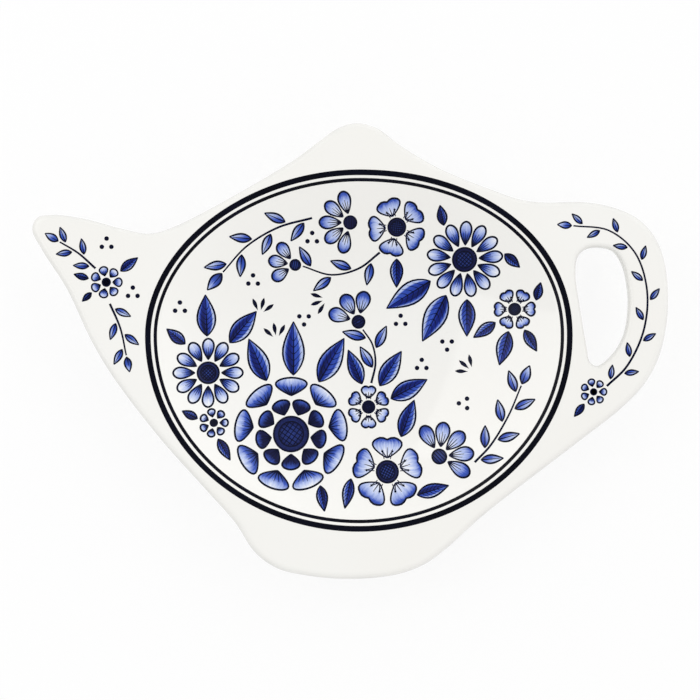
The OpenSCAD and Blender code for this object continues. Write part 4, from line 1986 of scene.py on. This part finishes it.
def large_spray() -> Spray:
    """The large spray on the lower left of the well.

    Returns:
        The spray.
    """
    return Spray(
        "large_spray", in_well, PRINT_SIZE,
        flowers=(
            Flower((-0.32, -0.395), 0.27, 9, 10, BROAD, two_rings=True),
            Flower((-0.71, -0.105), 0.165, 12, 0),
            Flower((0.135, -0.572), 0.168, 5, 18, NOTCHED),
            Flower((-0.682, -0.34), 0.07, 7, 0),
            Flower((0.047, -0.268), 0.105, 6, 30, NOTCHED),
            Flower((0.38, -0.5), 0.165, 5, 44, SIDE, 150),
            Flower((-0.001, 0.137), 0.15, 3, 120, SIDE, 84),
        ),
        leaves=(
            Leaf(0, 115, -2, 0.22, 0.45), Leaf(0, 88, 2, 0.26, 0.42), Leaf(0, 62, -2, 0.245, 0.44),
            Leaf(0, 300, -20, 0.125, 0.45), Leaf(1, 92, 0, 0.2, 0.46), Leaf(1, 55, -5, 0.2, 0.46),
            Leaf(1, 128, 12, 0.115, 0.5), Leaf(2, 190, 68, 0.145, 0.4), Leaf(2, 68, 2, 0.19, 0.44),
            Leaf(2, 322, 55, 0.16, 0.42), Leaf(3, 285, 15, 0.12, 0.42), Leaf(3, 165, -12, 0.085, 0.5),
            Leaf(4, 62, -4, 0.2, 0.44), Leaf(4, 20, 8, 0.2, 0.46), Leaf(4, 106, 6, 0.18, 0.42),
        ),
        branches=(
            Branch(((0.06, -0.155), (0.08, -0.06), (0.065, 0.03), (0.02, 0.1)), 3, 0.12),
            Branch(((0.545, -0.525), (0.62, -0.445), (0.705, -0.305), (0.765, -0.165)), 6, 0.11, 0.1, -1),
        ),
        dots=(Group((0.3, -0.07), 90), Group((-0.26, 0.15), 30), Group((-0.84, 0.2), 90),
              Group((0.5, -0.25), 60)),
        commas=(Group((-0.47, 0.17), 75), Group((0.54, -0.1), 140), Group((-0.39, 0.05), 100)),
    )


def small_spray() -> Spray:
    """The small spray on the upper right of the well.

    Returns:
        The spray.
    """
    return Spray(
        "small_spray", in_well, PRINT_SIZE,
        flowers=(
            Flower((0.5, 0.43), 0.18, 13, 5),
            Flower((0.18, 0.583), 0.14, 5, 40, NOTCHED),
            Flower((0.735, 0.195), 0.1, 6, 0, NOTCHED),
            Flower((-0.04, 0.605), 0.15, 5, 180, SIDE, 150),
            Flower((-0.301, 0.406), 0.13, 3, 170, SIDE, 84),
        ),
        leaves=(
            Leaf(0, 212, 0, 0.25, 0.44), Leaf(0, 243, 0, 0.25, 0.44), Leaf(0, 274, -4, 0.18, 0.46),
            Leaf(0, 122, -20, 0.1, 0.5), Leaf(0, 8, -50, 0.1, 0.5), Leaf(1, 270, 0, 0.14, 0.46),
            Leaf(2, 255, 0, 0.17, 0.46), Leaf(2, 215, 0, 0.13, 0.46), Leaf(2, 295, 4, 0.12, 0.45),
            Leaf(2, 22, 55, 0.09, 0.5),
        ),
        branches=(
            Branch(((-0.22, 0.625), (-0.38, 0.58), (-0.53, 0.49), (-0.64, 0.37)), 6, 0.11, 0.11),
            Branch(((0.1, 0.465), (0, 0.39), (-0.13, 0.36), (-0.265, 0.4)), 4, 0.11),
        ),
        dots=(Group((0.2, 0.14), 90), Group((-0.22, 0.53), 90), Group((0.42, 0.03), 30),
              Group((-0.5, 0.33), 90)),
        commas=(Group((-0.15, 0.245), 200),),
    )


def spout_sprig() -> Spray:
    """The sprig on the spout.

    Returns:
        The spray.
    """
    return Spray(
        "spout_sprig", FLANGE.place, FLANGE.left,
        flowers=(Flower((-0.771, 0.251), 0.05, 7, 0),),
        leaves=(Leaf(0, 38, 0, 0.07, 0.45), Leaf(0, 168, -4, 0.05, 0.45), Leaf(0, 215, 8, 0.042, 0.48)),
        branches=(
            Branch(((-0.804, 0.316), (-0.857, 0.388), (-0.913, 0.44)), 4, 0.052, 0.05),
            Branch(((-0.76, 0.15), (-0.728, 0.035), (-0.71, -0.08)), 4, 0.056, 0.05),
        ),
        dots=(Group((-0.77, 0.43), 90), Group((-0.69, 0.2), 90)),
        line_width=SPRIG_LINE,
    )


def handle_sprig() -> Spray:
    """The daisy below the finger opening, and the vine that runs round it on the handle.

    Returns:
        The spray.
    """
    middle = np.array(FLANGE.grip_middle)
    strap = np.array([FLANGE.right - middle[0], FLANGE.grip_half_length + STRAP_WIDTH / 2])
    knots = (0.07, -1), (0.37, -0.75), (0.62, -0.3), (0.67, 0.21), (0.49, 0.68), (0.1, 0.96), (-0.43, 1.02)
    places = [middle + np.array(knot) * strap for knot in knots]
    vine = [tuple(at / np.abs(FLANGE.place(tuple(np.sign(at))))) for at in places]
    return Spray(
        "handle_sprig", FLANGE.place, FLANGE.right,
        flowers=(Flower((0.757, -0.23), 0.044, 7, 0),),
        leaves=(Leaf(0, 232, 0, 0.055, 0.45),),
        branches=(Branch(vine, 12, 0.05, 0.05),),
        line_width=SPRIG_LINE,
    )


LAMP_POWER = 4.0  # an area lamp's radiance is its power over four times its area


@dataclass(frozen=True)
class SoftBox:
    """A level soft lamp: its middle, size, turn in degrees, radiance and height."""

    name: str
    middle: Point
    size: Point
    turn: float
    radiance: float
    height: float = 1.0


@dataclass
class Studio:
    """The pale floor, the plain soft light and the camera straight above the dish.

    side_light is the sky's strength at its sides. From dimming_start to dimming_full, which are heights
    of a unit direction, it falls by the share overhead_dimming. lean is how much it rises along x and y.
    """

    camera_height: float = 463.4 * MM
    camera_offset: Point = (-0.03 * MM, 0.21 * MM)
    lens: float = 118.08  # in millimetres, as Blender counts it
    near_clip: float = 10.0 * MM
    floor_white: Colour = srgb(252, 252, 252)
    floor_shade: Colour = srgb(249, 249, 249)
    floor_patches: float = 3.0
    floor_reach: float = 3.0
    floor_gap: float = 0.05 * MM
    side_light: float = 1.128
    overhead_dimming: float = 0.53
    dimming_start: float = 0.5
    dimming_full: float = 0.94
    lean: Point = (0.13, 0.12)
    shadow_share: float = 0.16
    boxes: Sequence[SoftBox] = (
        SoftBox("right_softbox", (0.98, 0.457), (0.88, 1.7), 25.0, 0.36),
        SoftBox("left_softbox", (-0.85, 0.31), (1.15, 0.84), 166.0, 0.85),
    )

    def build(self) -> None:
        """Builds the floor, the light and the camera."""
        self.floor()
        self.sky()
        for box in self.boxes:
            self.lamp(box)
        self.camera()

    def seen(self, w: Wiring) -> Socket:
        """1 for camera, glossy and transmission rays, and 0 for the light that falls on things.

        Args:
            w: The material's wiring.

        Returns:
            The 1 or 0.
        """
        rays = w.node("ShaderNodeLightPath").outputs
        mirrored = w.math("MAXIMUM", rays["Is Glossy Ray"], rays["Is Transmission Ray"])
        return w.math("MAXIMUM", rays["Is Camera Ray"], mirrored)

    def floor(self) -> None:
        """A wide level floor just under the foot ring, white with the dish's faint shadow."""
        material = bpy.data.materials.new("studio_floor")
        w = Wiring.of(material)
        place = w.node("ShaderNodeTexCoord").outputs["Object"]
        pale = w.blend(w.noise(place, self.floor_patches), self.floor_white, self.floor_shade)
        matt = w.node("ShaderNodeBsdfDiffuse", {"Color": pale}).outputs[0]
        white = w.node("ShaderNodeEmission", {"Strength": 1.0}).outputs[0]
        share = w.times(self.seen(w), 1 - self.shadow_share)
        mixed = w.node("ShaderNodeMixShader", {0: share, 1: matt, 2: white}).outputs[0]
        w.node("ShaderNodeOutputMaterial", {"Surface": mixed})
        reach, z = self.floor_reach, -self.floor_gap
        corners = [(x * reach, y * reach, z) for x, y in ((-1, -1), (1, -1), (1, 1), (-1, 1))]
        floor = linked("studio_floor", layered_mesh("studio_floor", corners, faces=[(0, 1, 2, 3)]))
        floor.data.materials.append(material)

    def sky(self) -> None:
        """Soft light from all round: white at the sides, dimmer overhead and fuller on one side."""
        world = bpy.data.worlds.new("studio_sky")
        w = Wiring.of(world)
        ray = w.node("ShaderNodeTexCoord").outputs["Object"]
        towards = w.node("ShaderNodeSeparateXYZ", {0: ray}).outputs
        limits = {"From Min": self.dimming_start, "From Max": self.dimming_full}
        overhead = w.node("ShaderNodeMapRange", {"Value": towards[2], **limits}, clamp=True).outputs[0]
        level = w.minus(1.0, w.times(overhead, self.overhead_dimming))
        strength = w.times(level, self.side_light)
        for part, share in zip(towards, self.lean):
            strength = w.plus(strength, w.times(part, share))
        sky = w.node("ShaderNodeBackground", {"Color": (1, 1, 1, 1), "Strength": strength})
        w.node("ShaderNodeOutputWorld", {"Surface": sky.outputs[0]})
        bpy.context.scene.world = world

    def lamp(self, box: SoftBox) -> None:
        """A level rectangular lamp over the dish.

        Args:
            box: The lamp's place, size and light.
        """
        light = bpy.data.lights.new(box.name, "AREA")
        light.shape = "RECTANGLE"
        light.size, light.size_y = box.size
        light.energy = LAMP_POWER * box.radiance * light.size * light.size_y
        lamp = linked(box.name, light)
        lamp.location = (*box.middle, box.height)
        lamp.rotation_euler = (0, 0, math.radians(box.turn))

    def camera(self) -> None:
        """A long lens straight above, with the handle to the right."""
        data = bpy.data.cameras.new("overhead_camera")
        data.lens = self.lens
        data.clip_start = self.near_clip
        camera = linked("overhead_camera", data)
        camera.location = (*self.camera_offset, self.camera_height)
        bpy.context.scene.camera = camera


def main() -> None:
    """Builds the studio and every piece of the dish, in order."""
    logging.basicConfig(level=logging.INFO, format="%(message)s")
    bpy.context.scene.view_settings.view_transform = "Standard"
    Studio().build()
    DishBody().build(Glaze())
    band_rule, band_ink = banding_rule(), BandInk().material()
    LipBand("wide_band", near=0.0, far=1.1 * MM).build(band_rule, band_ink)
    LipBand("fine_band", near=1.65 * MM, far=2.3 * MM).build(band_rule, band_ink)
    dress = {
        Slot.PETAL_BLUE: PrintWash().material(),
        Slot.LEAF_BLUE: LeafWash().material(),
        Slot.LINE_INK: LineInk().material(),
    }
    book = PatternBook()
    book.open()
    wash_rule, ink_rule = washing_rule(), inking_rule()
    for spray in (large_spray(), small_spray(), spout_sprig(), handle_sprig()):
        spray.build(book, wash_rule, ink_rule, dress)
    book.close()


if __name__ == "__main__":
    main()
